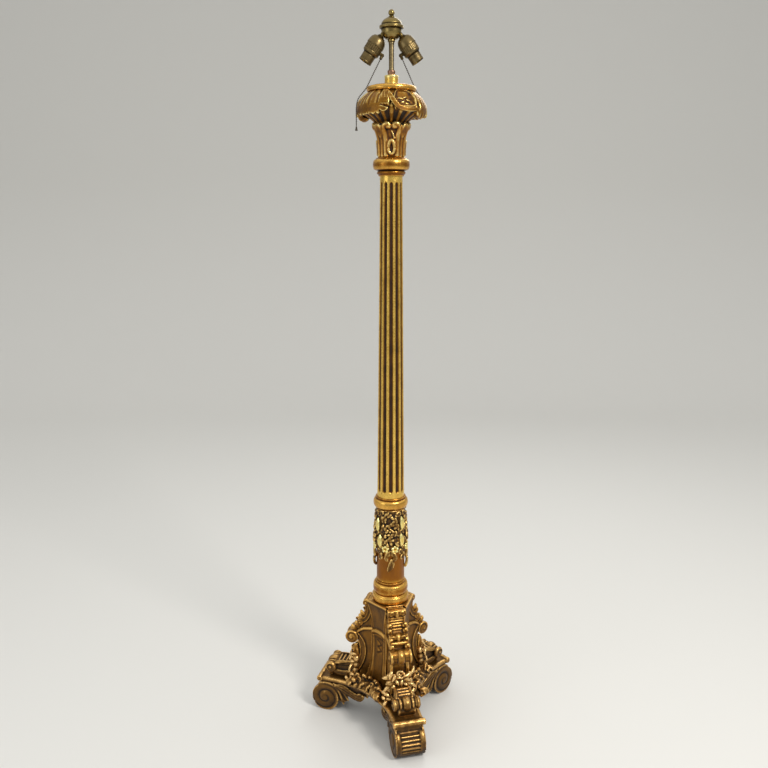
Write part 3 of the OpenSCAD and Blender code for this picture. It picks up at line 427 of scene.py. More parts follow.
def turned(loop, segments=128, wobble=0.0, seed=1):
    """Closed ring or solid turned from a loop of (radius, height) about Z, a little out of true."""
    loop = np.asarray(loop, float)
    angle = np.arange(segments) / segments * 2 * math.pi
    r = loop[:, 0:1] * np.ones(segments)
    z = loop[:, 1:2] * np.ones(segments)
    if wobble:
        rng = np.random.RandomState(seed)
        for wave in (2, 3, 5, 8):
            phase = rng.uniform(0, 6.28) + z * rng.uniform(0.02, 0.09)
            r = r + (loop[:, 0:1] > 1) * wobble / wave**0.6 * np.sin(wave * angle + phase)
    points = np.stack([r * np.cos(angle), r * np.sin(angle), z], -1).reshape(-1, 3)
    faces = grid_faces(len(loop) + 1, segments, wrap=True) % (len(loop) * segments)
    return points, [faces]


def resampled(loop, step):
    """Points of a closed profile, with more of them on the stretches that are longer than a step."""
    loop = np.asarray(loop, float)
    filled = []
    for a, b in zip(loop, np.roll(loop, -1, axis=0)):
        parts = max(1, int(np.linalg.norm(b - a) / step))
        filled += [a + (b - a) * k / parts for k in range(parts)]
    return filled


def stacked(rings):
    """Closed shell through rings of equally many points, from the lowest up, with a fan over each end."""
    rings = np.asarray(rings, float)
    n, count = rings.shape[:2]
    middles = [(0, 0, rings[0, 0, 2]), (0, 0, rings[-1, 0, 2])]
    k = np.arange(count)
    following = (k + 1) % count
    low = np.stack([following, k, np.full(count, n * count)], 1)
    top = np.stack([k + (n - 1) * count, following + (n - 1) * count, np.full(count, n * count + 1)], 1)
    return np.concatenate([rings.reshape(-1, 3), middles]), [grid_faces(n, count, wrap=True), low, top]


def swell(low, high, start, height, steps=12):
    """Half-round bulge of a turned profile, from radius low to radius high and back."""
    t = np.linspace(0, math.pi, steps)
    return np.stack([low + (high - low) * np.sin(t) ** 0.8, start + height * (1 - np.cos(t)) / 2],
                    1).tolist()


def unit(vectors):
    """Vectors brought to length 1."""
    return vectors / np.maximum(np.linalg.norm(vectors, axis=-1, keepdims=True), 1e-9)


def tube(path, radii, side=(0, 0, 1), sides=12, squash=1.0):
    """Round or oval rod along a path, with domed ends."""
    path = np.asarray(path, float)
    n = len(path)
    radii = np.broadcast_to(np.asarray(radii, float), (n,))
    along = unit(np.gradient(path, axis=0))
    across = unit(np.cross(along, np.broadcast_to(np.asarray(side, float), (n, 3))))
    up = np.cross(across, along)
    angle = np.arange(sides) / sides * 2 * math.pi
    ring = across[:, None] * np.cos(angle)[None, :, None] + up[:, None] * np.sin(angle)[None, :,
                                                                                        None] * squash
    body = path[:, None] + ring * radii[:, None, None]
    domes = []
    for end, sign in ((0, -1), (n - 1, 1)):
        dome = []
        for s in (0.35, 0.7, 0.93, 1.0):
            middle = path[end] + along[end] * sign * radii[end] * s * 0.8
            dome.append(middle + ring[end] * radii[end] * math.sqrt(max(1 - s * s, 0.0004)))
        domes.append(np.array(dome))
    points = np.concatenate([domes[0][::-1], body, domes[1]])
    rows = len(points)
    caps = [np.arange(sides)[None, ::-1], (rows - 1) * sides + np.arange(sides)[None, :]]
    return points.reshape(-1, 3), [grid_faces(rows, sides, wrap=True), *caps]


def blob(centre, radii, rows=8, cols=12):
    """Ellipsoid, for berries, beads and buds."""
    u = np.linspace(0.02, math.pi - 0.02, rows)
    v = np.arange(cols) / cols * 2 * math.pi
    ball = [np.outer(np.sin(u), np.cos(v)), np.outer(np.sin(u), np.sin(v)),
            np.outer(np.cos(u), np.ones(cols))]
    points = np.stack(ball, -1).reshape(-1, 3) * np.broadcast_to(np.asarray(radii, float), (3,))
    caps = [np.arange(cols)[None, :], (rows - 1) * cols + np.arange(cols)[None, ::-1]]
    return points + np.asarray(centre, float), [grid_faces(rows, cols, wrap=True)[:, ::-1], *caps]


def prism(outline, low, high):
    """Flat outline in the X-Z plane, made solid between two places on Y."""
    outline = np.asarray(outline, float)
    n = len(outline)
    points = np.concatenate([np.insert(outline, 1, place, axis=1) for place in (low, high)])
    following = (np.arange(n) + 1) % n
    sides = np.stack([np.arange(n), following, following + n, np.arange(n) + n], 1)
    return points, [sides, np.arange(n)[None, ::-1], np.arange(n)[None, :] + n]


def spiral(centre, outer, inner, start, turns, steps=60):
    """Points (x, z) of a spiral that winds in from the outer radius, start in degrees."""
    t = np.linspace(0, 1, steps)
    angle = np.radians(start) + 2 * math.pi * turns * t
    radius = outer + (inner - outer) * t**0.8
    return np.stack([centre[0] + radius * np.cos(angle), centre[1] + radius * np.sin(angle)], 1)


def smooth_line(points, count=48):
    """Catmull-Rom line through the points, with even steps."""
    p = np.asarray(points, float)
    p = np.concatenate([2 * p[:1] - p[1:2], p, 2 * p[-1:] - p[-2:-1]])
    out = []
    for i in range(1, len(p) - 2):
        t = np.linspace(0, 1, 24, endpoint=False)[:, None]
        out.append(
            0.5
            * (
                2 * p[i]
                + (p[i + 1] - p[i - 1]) * t
                + (2 * p[i - 1] - 5 * p[i] + 4 * p[i + 1] - p[i + 2]) * t**2
                + (3 * p[i] - p[i - 1] - 3 * p[i + 1] + p[i + 2]) * t**3
            )
        )
    line = np.concatenate(out + [p[-2:-1]])
    run = np.concatenate([[0], np.cumsum(np.linalg.norm(np.diff(line, axis=0), axis=1))])
    even = np.linspace(0, run[-1], count)
    return np.stack([np.interp(even, run, line[:, k]) for k in range(line.shape[1])], 1)


def band(line, thick, half_width, rim=1.5, rim_w=0.16, cols=25):
    """Strip of carving that follows a line in the X-Z plane and is wide along Y, with raised borders.

    thick is how far it reaches to the line's right, and the face with the borders is on its left.
    """
    line = np.asarray(line, float)
    along = unit(np.gradient(line, axis=0))
    left = np.stack([-along[:, 1], along[:, 0]], 1)
    v = np.linspace(-1, 1, cols)
    lift = rim * np.sin(ramp(np.abs(v), 1 - 2 * rim_w, rim_w) * math.pi / 2) * (1 - ramp(np.abs(v), 0.93,
                                                                                         0.07) ** 2 * 0.7)
    faces = []
    for height in (lift, np.full(cols, -float(thick))):
        grid = np.zeros((len(line), cols, 3))
        grid[..., 0] = line[:, 0:1] + left[:, 0:1] * height
        grid[..., 2] = line[:, 1:2] + left[:, 1:2] * height
        grid[..., 1] = half_width * v
        faces.append(grid)
    return slab(*faces)


def leaf(spine, side, width, lobes=4, depth=0.3, rise=2.0, thick=3.0, veins=1.0, rows=49, cols=25, up=None):
    """Carved leaf along a spine: lobed edge, sunk midrib, ridged lobes and a body under it.

    side is the direction across the leaf, and width one measure or a few from root to tip.
    """
    spine = smooth_line(spine, rows)
    along = unit(np.gradient(spine, axis=0))
    side = np.broadcast_to(np.asarray(side, float), (rows, 3))
    across = unit(side - along * np.sum(side * along, axis=1, keepdims=True))
    normal = np.cross(along, across) if up is None else np.broadcast_to(np.asarray(up, float), (rows, 3))
    u = np.linspace(0, 1, rows)
    v = np.linspace(-1, 1, cols)
    if np.ndim(width):
        width = np.interp(u, np.linspace(0, 1, len(width)), width)
    else:
        width = width * np.sin(math.pi * np.clip(u * 0.92 + 0.08, 0, 1)) ** 0.6
    scallop = 1 - depth * (0.5 + 0.5 * np.cos(2 * math.pi * lobes * u)) ** 1.5
    grid_u, grid_v = np.meshgrid(u, v, indexing="ij")
    reach = grid_v * (width * scallop)[:, None]
    # Each lobe leans forward and swells between two sunk veins, and a groove runs down the midrib
    phase = 2 * math.pi * lobes * (grid_u - 0.35 * np.abs(grid_v) / lobes)
    ridges = (0.5 - 0.5 * np.cos(phase)) * np.abs(grid_v) ** 0.6
    midrib = -bell(grid_v, 0, 0.12) + 0.9 * bell(np.abs(grid_v), 0.26, 0.12)
    fine = np.cos(phase * 3) * 0.18 * np.abs(grid_v)
    crown = 1 - grid_v**2 * 0.9
    height = rise * (crown * 0.8 + veins * (ridges * 0.7 + midrib * 0.45 + fine))
    top = spine[:, None] + across[:, None] * reach[..., None] + normal[:, None] * height[..., None]
    back = spine[:, None] + across[:, None] * (reach * 0.8)[..., None] - normal[:, None] * thick
    return slab(top, back)


def spiral_disc(radius, face, out, turns=1.6, hand=1, groove=2.6, boss=5.0, rows=22, cols=72):
    """Grid of points over the end of a scroll roll: a rounded coil that winds up to a raised boss."""
    r = np.linspace(0.02, 1.0, rows)[:, None]
    a = np.linspace(0, 2 * math.pi, cols, endpoint=False)[None, :]
    turn = r**0.9 * turns + hand * a / (2 * math.pi)
    coil = groove * (np.abs(np.sin(math.pi * turn)) ** 0.6 - 1)
    coil = coil * ramp(r, 0.16, 0.12) * ramp(r, 1.0, -0.08)
    dome = boss * np.exp(-((r / 0.45) ** 4)) + 1.0 * bell(r, 0, 0.14)
    edge = -1.8 * ramp(r, 0.9, 0.1) ** 2
    y = face + out * (coil + dome + edge)
    return np.stack([radius * r * np.cos(a), y + 0 * a, radius * r * np.sin(a)], -1)


def roll(centre, radius, width, turns=1.6, hand=1, groove=2.6, boss=5.0, side=None, cols=72, rows=22,
         spans=31):
    """Scroll roll across Y: both ends are spiral discs, and side(angle, t) gives the radius of its face."""
    left = spiral_disc(radius, -width / 2, -1, turns, hand, groove, boss, rows, cols)
    right = spiral_disc(radius, width / 2, 1, turns, hand, groove, boss, rows, cols)
    t = np.linspace(-1, 1, spans)[:, None]
    a = np.linspace(0, 2 * math.pi, cols, endpoint=False)[None, :]
    r = radius + 0 * t * a if side is None else side(a, t * width / 2)
    face = np.stack([r * np.cos(a), t * width / 2 + 0 * a, r * np.sin(a)], -1)
    rings = np.concatenate([left, face[1:-1], right[::-1]])
    rings = rings + np.array([centre[0], 0, centre[1]])
    n = len(rings)
    caps = [np.arange(cols)[None, ::-1], (n - 1) * cols + np.arange(cols)[None, :]]
    return rings.reshape(-1, 3), [grid_faces(n, cols, wrap=True)[:, ::-1], *caps]


def strap(line, reach, half, edge=1.8, share=0.2, cols=17):
    """Thick flat scroll along a line in the X-Z plane, with raised borders on its two side faces."""
    line = np.asarray(line, float)
    along = unit(np.gradient(line, axis=0))
    normal = np.stack([-along[:, 1], along[:, 0]], 1)
    reach = np.broadcast_to(np.asarray(reach, float), (len(line),))
    s = np.linspace(-1, 1, cols)
    border = ramp(np.abs(s), 1 - 2 * share, share)
    lift = edge * np.sin(border * math.pi / 2) - edge * ramp(np.abs(s), 0.9, 0.1) ** 2
    sides = []
    for sign in (1, -1):
        grid = np.zeros((len(line), cols, 3))
        grid[..., 0] = line[:, 0:1] + normal[:, 0:1] * reach[:, None] * s
        grid[..., 2] = line[:, 1:2] + normal[:, 1:2] * reach[:, None] * s
        grid[..., 1] = sign * (half - edge + lift)[None, :]
        sides.append(grid)
    return slab(sides[1], sides[0])


def gap_to(line, points):
    """Distance of each point of a flat grid from a line of points in the same plane."""
    line = np.asarray(line, float)
    best = np.full(points.shape[:-1], 1e9)
    for a, b in zip(line[:-1], line[1:]):
        run = b - a
        t = np.clip(np.sum((points - a) * run, -1) / max(float(run @ run), 1e-9), 0, 1)
        best = np.minimum(best, np.linalg.norm(points - a - t[..., None] * run, axis=-1))
    return best


def moved(shape, turn=0.0, shift=(0, 0, 0), matrix=None):
    """Copy of a shape, turned about Z in degrees and then shifted, or put through a 4x4 matrix."""
    if matrix is None:
        c, s = math.cos(math.radians(turn)), math.sin(math.radians(turn))
        rotation, offset = np.array([[c, s, 0], [-s, c, 0], [0, 0, 1]]), np.asarray(shift, float)
    else:
        matrix = np.asarray(matrix, float)
        rotation, offset = matrix[:3, :3].T, matrix[:3, 3]
    return [(points @ rotation + offset, faces) for points, faces in shape]


# ---------------------------------------------------------------------------------------------
# Meshes


def mesh_of(name, shape):
    """Mesh in metres from a shape in millimetres."""
    starts, loops, points = [], [], []
    count, used = 0, 0
    for shell_points, faces in shape:
        points.append(shell_points)
        for group in faces:
            loops.append((group + count).ravel())
            starts.append(used + np.arange(len(group)) * group.shape[1])
            used += group.size
        count += len(shell_points)
    points, loops, starts = np.concatenate(points) * MM, np.concatenate(loops), np.concatenate(starts)
    mesh = bpy.data.meshes.new(name)
    mesh.vertices.add(len(points))
    mesh.vertices.foreach_set("co", points.astype(np.float32).ravel())
    mesh.loops.add(len(loops))
    mesh.loops.foreach_set("vertex_index", loops.astype(np.int32))
    mesh.polygons.add(len(starts))
    mesh.polygons.foreach_set("loop_start", starts.astype(np.int32))
    mesh.update(calc_edges=True)
    mesh.validate()
    return mesh


def object_of(name, mesh):
    """Object with a mesh, in the scene."""
    made = bpy.data.objects.new(name, mesh)
    bpy.context.scene.collection.objects.link(made)
    return made


def plain(obj):
    """Applies an object's modifiers to its mesh and removes them."""
    graph = bpy.context.evaluated_depsgraph_get()
    mesh = bpy.data.meshes.new_from_object(obj.evaluated_get(graph))
    obj.modifiers.clear()
    old, obj.data = obj.data, mesh
    bpy.data.meshes.remove(old)
    mesh.name = obj.name
    return obj


def weld(obj, distance=0.00002):
    """Merges doubled points and turns the faces outwards."""
    work = bmesh.new()
    work.from_mesh(obj.data)
    bmesh.ops.remove_doubles(work, verts=work.verts, dist=distance)
    bmesh.ops.dissolve_degenerate(work, edges=work.edges, dist=distance / 4)
    bmesh.ops.recalc_face_normals(work, faces=work.faces)
    work.to_mesh(obj.data)
    work.free()
    return obj


def neighbours(mesh):
    """Both ends of each edge, both ways, and how many edges each point has."""
    edges = np.zeros(len(mesh.edges) * 2, np.int32)
    mesh.edges.foreach_get("vertices", edges)
    edges = edges.reshape(-1, 2)
    ends = np.concatenate([edges[:, 0], edges[:, 1]])
    others = np.concatenate([edges[:, 1], edges[:, 0]])
    degree = np.maximum(np.bincount(ends, minlength=len(mesh.vertices)), 1)
    return ends, others, degree


def blurred(values, ends, others, degree, times):
    """Values at the points, averaged with their neighbours that many times."""
    values = values.copy()
    for _ in range(times):
        for k in range(values.shape[1]):
            total = np.bincount(ends, weights=values[others, k], minlength=len(values))
            values[:, k] = 0.5 * values[:, k] + 0.5 * total / degree
    return values


def points_of(mesh):
    """Places of a mesh's points, one row each."""
    co = np.zeros(len(mesh.vertices) * 3, np.float32)
    mesh.vertices.foreach_get("co", co)
    return co.reshape(-1, 3).astype(float)


# How many times points are averaged with their neighbours, to find small edges and to find whole bosses
NEAR, FAR = 3, 26


def measure_relief(mesh, step):
    """Writes how far each point stands out of its surroundings, as ridge (near) and hollow (far).

    Both are 0 on a flat, above 0 on edges and bosses and below 0 in grooves, from -1 to 1.
    """
    co = points_of(mesh)
    ends, others, degree = neighbours(mesh)
    normals = np.zeros(len(co) * 3, np.float32)
    mesh.vertex_normals.foreach_get("vector", normals)
    normals = normals.reshape(-1, 3)
    near = blurred(co, ends, others, degree, NEAR)
    far = blurred(near, ends, others, degree, FAR)
    ridge = np.sum((co - near) * normals, 1) / (step * 0.3)
    hollow = np.sum((co - far) * normals, 1) / (step * 1.6)
    both = blurred(np.stack([ridge, hollow], 1), ends, others, degree, 2)
    both[:, 0] = np.where(both[:, 0] < 0, both[:, 0] * 0.6, both[:, 0])
    for name, values in (("ridge", both[:, 0]), ("hollow", both[:, 1])):
        attribute = mesh.attributes.new(name, "FLOAT", "POINT")
        attribute.data.foreach_set("value", np.tanh(values * 0.8).astype(np.float32))


def dress(obj, material, nodes, body="root"):
    """Gives a finished mesh its finish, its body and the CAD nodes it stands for."""
    obj.data.materials.clear()
    obj.data.materials.append(MATERIALS[material])
    obj.data.shade_smooth()
    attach(obj, body)
    if nodes:
        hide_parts(*nodes)
    return obj


def carve(name, shape, grain, material, nodes, smooth=2, floor=None, limit=None):
    """Joins the shells of a carved piece into one skin, softens it as gesso does, and dresses it.

    grain is the size of the voxels in millimetres, floor a height that nothing goes below, and
    limit a function that holds the points inside the CAD box.
    """
    obj = object_of(name, mesh_of(name, shape))
    modifier = obj.modifiers.new("Join", "REMESH")
    modifier.mode = "VOXEL"
    modifier.voxel_size = grain * MM
    plain(obj)
    mesh = obj.data
    co = points_of(mesh)
    ends, others, degree = neighbours(mesh)
    for _ in range(smooth):
        co = blurred(co, ends, others, degree, 1)
    if floor is not None:
        co[:, 2] = np.maximum(co[:, 2], floor * MM)
    if limit is not None:
        co = limit(co / MM) * MM
    mesh.vertices.foreach_set("co", co.astype(np.float32).ravel())
    mesh.update()
    measure_relief(mesh, grain * MM)
    return dress(obj, material, nodes)


def carve_three(name, node, shape, grain, material, floor=None):
    """Carves the same piece for each of the three legs, from a shape that points along X."""
    for leg, turn in zip(LEG_NAMES, LEG_TURNS):
        carve(f"{name}_{leg}", moved(shape, turn), grain, material, [f"{node}_{leg}"], floor=floor)


def turn_piece(name, loop, material, nodes, slot, segments=144, wobble=0.12, seed=1, step=1.6, body="root"):
    """Turned piece from a closed profile, with heights from the foot of the first CAD node it stands for."""
    foot = round(node_z(nodes[0])[0], 1)
    loop = [(radius, foot + height) for radius, height in loop]
    obj = object_of(name, mesh_of(name, [turned(resampled(loop, step), segments, wobble, seed)]))
    weld(obj)
    measure_relief(obj.data, step * MM)
    return dress(obj, material, nodes, body)


# ---------------------------------------------------------------------------------------------
# Places on the lamp

# Where each leg points, in degrees from X; a face of the pedestal looks out half-way between two legs
LEG_TURNS = (-76.0, 44.0, 164.0)
LEG_NAMES = ("front", "right", "left")
# Middle and radius of the foot rolls
FOOT_X, FOOT_Z, FOOT_R = 173.0, 37.7, 38.5


def wrapped(spine, centre, span, height, lean=0.0, rows=56, cols=49, thick=3.0, scallop=None):
    """Carving that lies on a turned body: a grid that runs down a (radius, height) line and round by angle.

    height(u, v) is how far the face stands off the line, scallop(v) how far the foot edge rises.
    """
    spine = smooth_line(spine, rows)
    along = unit(np.gradient(spine, axis=0))
    normal = np.stack([-along[:, 1], along[:, 0]], 1)
    u, v = np.meshgrid(np.linspace(0, 1, rows), np.linspace(-1, 1, cols), indexing="ij")
    reach = np.interp(u, np.linspace(0, 1, len(span)), span)
    angle = np.radians(centre + lean * u + v * reach)
    drop = u if scallop is None else u * (1 - scallop(v))
    r, z, nr, nz = (
        np.interp(drop * (rows - 1), np.arange(rows), values) for values in (*spine.T, *normal.T)
    )
    lift = height(u, v)
    faces = []
    for off in (lift, np.minimum(lift - thick, -thick)):
        radius = r + nr * off
        faces.append(np.stack([radius * np.cos(angle), radius * np.sin(angle), z + nz * off], -1))
    return slab(*faces)


def on_round(angle, radius, z):
    """Point at an angle in degrees round the lamp."""
    a = math.radians(angle)
    return np.array([radius * math.cos(a), radius * math.sin(a), z])


def round_line(angle, places, count):
    """Smooth line through places (degrees past the angle, radius, height) round the lamp."""
    return smooth_line([on_round(angle + a, r, z) for a, r, z in places], count)


def round_leaf(angle, radius, line, width, **more):
    """Leaf on a turned body: line is (z, height off the body, sideways mm) from root to tip."""
    spine = [on_round(angle + math.degrees(s / radius), radius + h, z) for z, h, s in line]
    return leaf(spine, on_round(angle + 90, 1.0, 0.0), width, **more)


# ---------------------------------------------------------------------------------------------
# Geometry Nodes


def new_tree(name, inputs):
    """Geometry node tree with its inputs, each a kind and maybe a default; also what they give."""
    tree = bpy.data.node_groups.new(name, "GeometryNodeTree")
    for title, (kind, *default) in inputs.items():
        socket = tree.interface.new_socket(title, in_out="INPUT", socket_type="NodeSocket" + kind)
        if default:
            socket.default_value = default[0]
    tree.interface.new_socket("Geometry", in_out="OUTPUT", socket_type="NodeSocketGeometry")
    return tree, add(tree, "NodeGroupInput").outputs


def close_tree(tree, geometry, material):
    """Makes real what a tree has built, gives it its material and sends it out."""
    real = add(tree, "GeometryNodeRealizeInstances", links={"Geometry": geometry}).outputs[0]
    painted = add(tree, "GeometryNodeSetMaterial", links={"Geometry": real,
                                                          "Material": material}).outputs[0]
    add(tree, "NodeGroupOutput", links={"Geometry": painted})
    return tree


def run_nodes(obj, tree, values):
    """Runs a node tree on an object with named inputs, and turns the result into a plain mesh."""
    names = {item.name: item.identifier for item in tree.interface.items_tree if item.in_out == "INPUT"}
    modifier = obj.modifiers.new("Build", "NODES")
    modifier.node_group = tree
    for name, value in values.items():
        modifier[names[name]] = value
    return plain(obj)


def fluted_tree():
    """Tapered round shaft with round-ended flutes, from a flat grid.

    X of the grid goes round the shaft and Y goes up it. A flute is cut where a rounded slot's own
    circle says so, and the last row at each end closes on the centre line.
    """
    inputs = {
        "Length": ("Float", 0.787),
        "Foot Radius": ("Float", 0.0344),
        "Head Radius": ("Float", 0.0267),
        "Foot Height": ("Float", 0.621),
        "Flutes": ("Int", 12),
        "Flute Depth": ("Float", 0.004),
        "Flute Share": ("Float", 0.3),
        "Margin": ("Float", 0.014),
        "Material": ("Material",),
    }
    tree, given = new_tree("Fluted shaft", inputs)
    size = {"Size X": 1.0, "Size Y": 1.02, "Vertices X": 289, "Vertices Y": 160}
    shape = add(tree, "GeometryNodeMeshGrid", links=size).outputs["Mesh"]
    position = add(tree, "GeometryNodeInputPosition").outputs[0]
    place = add(tree, "ShaderNodeSeparateXYZ", links={0: position}).outputs
    known = {"X": place["X"], "Y": place["Y"], **{title: given[title] for title in inputs}}
    other_kinds = {"CLAMP": "ShaderNodeClamp", "MAP_RANGE": "ShaderNodeMapRange",
                   "COMBINE": "ShaderNodeCombineXYZ"}
    # Each row is a result, the operation and what goes in: a value, an input or an earlier result
    for result, operation, *parts in (
        ("turn", "MULTIPLY", "X", 2 * math.pi),
        ("off middle", "ABSOLUTE", "Y"),
        ("inside", "LESS_THAN", "off middle", 0.505),
        # Rows crowd towards both ends, where the flutes stop
        ("level", "CLAMP", "Y", -0.5, 0.5),
        ("quarter turns", "MULTIPLY", "level", math.pi),
        ("wave", "SINE", "quarter turns"),
        ("share", "MULTIPLY_ADD", "wave", 0.5, 0.5),
        ("height", "MULTIPLY", "share", "Length"),
        ("radius", "MAP_RANGE", "share", 0.0, 1.0, "Foot Radius", "Head Radius"),
        # Place across one flute, from -1 at one edge to 1 at the other
        ("flutes before", "MULTIPLY_ADD", "X", "Flutes", 0.5),
        ("part of a flute", "FLOORED_MODULO", "flutes before", 1.0),
        ("off centre", "SUBTRACT", "part of a flute", 0.5),
        ("across", "DIVIDE", "off centre", "Flute Share"),
        ("round", "MULTIPLY", "radius", 2 * math.pi),
        ("pitch", "DIVIDE", "round", "Flutes"),
        ("half width", "MULTIPLY", "pitch", "Flute Share"),
        # Place past the centre of the flute's round end, in the same measure
        ("from head", "SUBTRACT", "Length", "height"),
        ("from end", "MINIMUM", "height", "from head"),
        ("in flute", "SUBTRACT", "from end", "Margin"),
        ("in widths", "DIVIDE", "in flute", "half width"),
        ("past centre", "SUBTRACT", 1.0, "in widths"),
        ("end", "MAXIMUM", "past centre", 0.0),
        ("end square", "MULTIPLY", "end", "end"),
        ("reach", "MULTIPLY_ADD", "across", "across", "end square"),
        ("left over", "SUBTRACT", 1.0, "reach"),
        ("inside slot", "MAXIMUM", "left over", 0.0),
        ("cut", "SQRT", "inside slot"),
        ("depth", "MULTIPLY", "cut", "Flute Depth"),
        ("wall", "SUBTRACT", "radius", "depth"),
        ("face", "MULTIPLY", "wall", "inside"),
        ("cosine", "COSINE", "turn"),
        ("sine", "SINE", "turn"),
        ("east", "MULTIPLY", "cosine", "face"),
        ("north", "MULTIPLY", "sine", "face"),
        ("up", "ADD", "height", "Foot Height"),
        ("point", "COMBINE", "east", "north", "up"),
        # What the gilding reads: painted shade down in the flutes, burnish and a painted highlight on the
        # fillets between them
        ("hollow", "MULTIPLY", "cut", -0.4),
        ("ridge", "MULTIPLY_ADD", "cut", -0.6, 0.6),
    ):
        kind = other_kinds.get(operation, "ShaderNodeMath")
        settings = {} if operation in other_kinds else {"operation": operation}
        links = {slot: known.get(part, part) for slot, part in enumerate(parts)}
        known[result] = add(tree, kind, settings, links).outputs[0]
    for name in ("hollow", "ridge"):
        kept = {"Geometry": shape, "Name": name, "Value": known[name]}
        shape = add(tree, "GeometryNodeStoreNamedAttribute", {"data_type": "FLOAT"}, kept).outputs[0]
    shape = add(tree, "GeometryNodeSetPosition", links={"Geometry": shape,
                                                        "Position": known["point"]}).outputs[0]
    shape = add(tree, "GeometryNodeMergeByDistance", links={"Geometry": shape,
                                                            "Distance": 0.00001}).outputs[0]
    return close_tree(tree, shape, given["Material"])


def bead_tree():
    """Bead chain: hollow balls at even steps along a line, on short links of wire."""
    inputs = {
        "Geometry": ("Geometry",),
        "Bead Diameter": ("Float", 0.0032),
        "Bead Step": ("Float", 0.0042),
        "Link Diameter": ("Float", 0.0009),
        "Material": ("Material",),
    }
    tree, given = new_tree("Bead chain", inputs)
    half = {}
    for size in ("Bead Diameter", "Link Diameter"):
        half[size] = add(tree, "ShaderNodeMath", {"operation": "MULTIPLY"},
                         {0: given[size], 1: 0.5}).outputs[0]
    line = add(tree, "GeometryNodeMeshToCurve", links={"Mesh": given["Geometry"]}).outputs[0]
    line = {"Curve": line, "Length": given["Bead Step"]}
    line = add(tree, "GeometryNodeResampleCurve", {"mode": "LENGTH"}, line).outputs[0]
    ball = {"Segments": 14, "Rings": 9, "Radius": half["Bead Diameter"]}
    ball = add(tree, "GeometryNodeMeshUVSphere", links=ball).outputs["Mesh"]
    balls = add(tree, "GeometryNodeInstanceOnPoints", links={"Points": line, "Instance": ball}).outputs[0]
    ring = {"Resolution": 6, "Radius": half["Link Diameter"]}
    ring = add(tree, "GeometryNodeCurvePrimitiveCircle", links=ring).outputs["Curve"]
    wire = {"Curve": line, "Profile Curve": ring, "Fill Caps": True}
    wire = add(tree, "GeometryNodeCurveToMesh", links=wire).outputs[0]
    both = add(tree, "GeometryNodeJoinGeometry")
    for part in (balls, wire):
        tree.links.new(part, both.inputs[0])
    return close_tree(tree, both.outputs[0], given["Material"])


def scatter_tree():
    """Copies of a carved bud on every point of a mesh, turned and sized by a fixed seed."""
    inputs = {
        "Geometry": ("Geometry",),
        "Bud Radius": ("Float", 0.004),
        "Least": ("Float", 0.7),
        "Most": ("Float", 1.25),
        "Seed": ("Int", 4),
        "Material": ("Material",),
    }
    tree, given = new_tree("Buds", inputs)
    bud = {"Segments": 12, "Rings": 8, "Radius": given["Bud Radius"]}
    bud = add(tree, "GeometryNodeMeshUVSphere", links=bud).outputs["Mesh"]
    size = {2: given["Least"], 3: given["Most"], 8: given["Seed"]}
    size = add(tree, "FunctionNodeRandomValue", {"data_type": "FLOAT"}, size).outputs[1]
    turn = {1: (6.2, 6.2, 6.2), 8: given["Seed"]}
    turn = add(tree, "FunctionNodeRandomValue", {"data_type": "FLOAT_VECTOR"}, turn).outputs[0]
    spread = add(tree, "ShaderNodeCombineXYZ", links={0: size, 1: size, 2: 1.3}).outputs[0]
    copies = {"Points": given["Geometry"], "Instance": bud, "Rotation": turn, "Scale": spread}
    copies = add(tree, "GeometryNodeInstanceOnPoints", links=copies).outputs[0]
    return close_tree(tree, copies, given["Material"])


def points_object(name, points):
    """Loose points, for a node tree to work on."""
    mesh = bpy.data.meshes.new(name)
    mesh.from_pydata((np.asarray(points) * MM).tolist(), [], [])
    return object_of(name, mesh)


def line_object(name, points):
    """Line of points joined by edges, for a node tree to follow."""
    mesh = bpy.data.meshes.new(name)
    mesh.from_pydata((np.asarray(points) * MM).tolist(), [(i, i + 1) for i in range(len(points) - 1)], [])
    return object_of(name, mesh)


def shell_from(obj):
    """A finished mesh object as one shell in millimetres; the object goes."""
    mesh = obj.data
    co = points_of(mesh) / MM
    groups = {}
    for polygon in mesh.polygons:
        groups.setdefault(len(polygon.vertices), []).append(tuple(polygon.vertices))
    faces = [np.array(g) for g in groups.values()]
    bpy.data.objects.remove(obj)
    bpy.data.meshes.remove(mesh)
    return co, faces


def buds(points, radius, least=0.7, most=1.25, seed=4):
    """Carved buds at points, as one shell."""
    obj = points_object("buds", points)
    values = {"Bud Radius": radius * MM, "Least": least, "Most": most, "Seed": seed}
    run_nodes(obj, TREES["buds"], {**values, "Material": MATERIALS["foot gilding"]})
    return shell_from(obj)


TREES = {}


# ---------------------------------------------------------------------------------------------
# Tripod base


def tapered(path, stops, radii, **more):
    """Rod along a path whose radius runs through the radii at those shares of its length."""
    return tube(path, np.interp(np.linspace(0, 1, len(path)), stops, radii), **more)


def side_leaf(side, spine, across, width, rise, thick, **more):
    """Leaf that lies on one side of a piece, 1 or -1; the spine is the one of the +Y side."""
    spine = [(x, side * y, z) for x, y, z in spine]
    return leaf(spine, across, width, rise=rise * side, thick=thick * side, up=(0, 1, 0), **more)


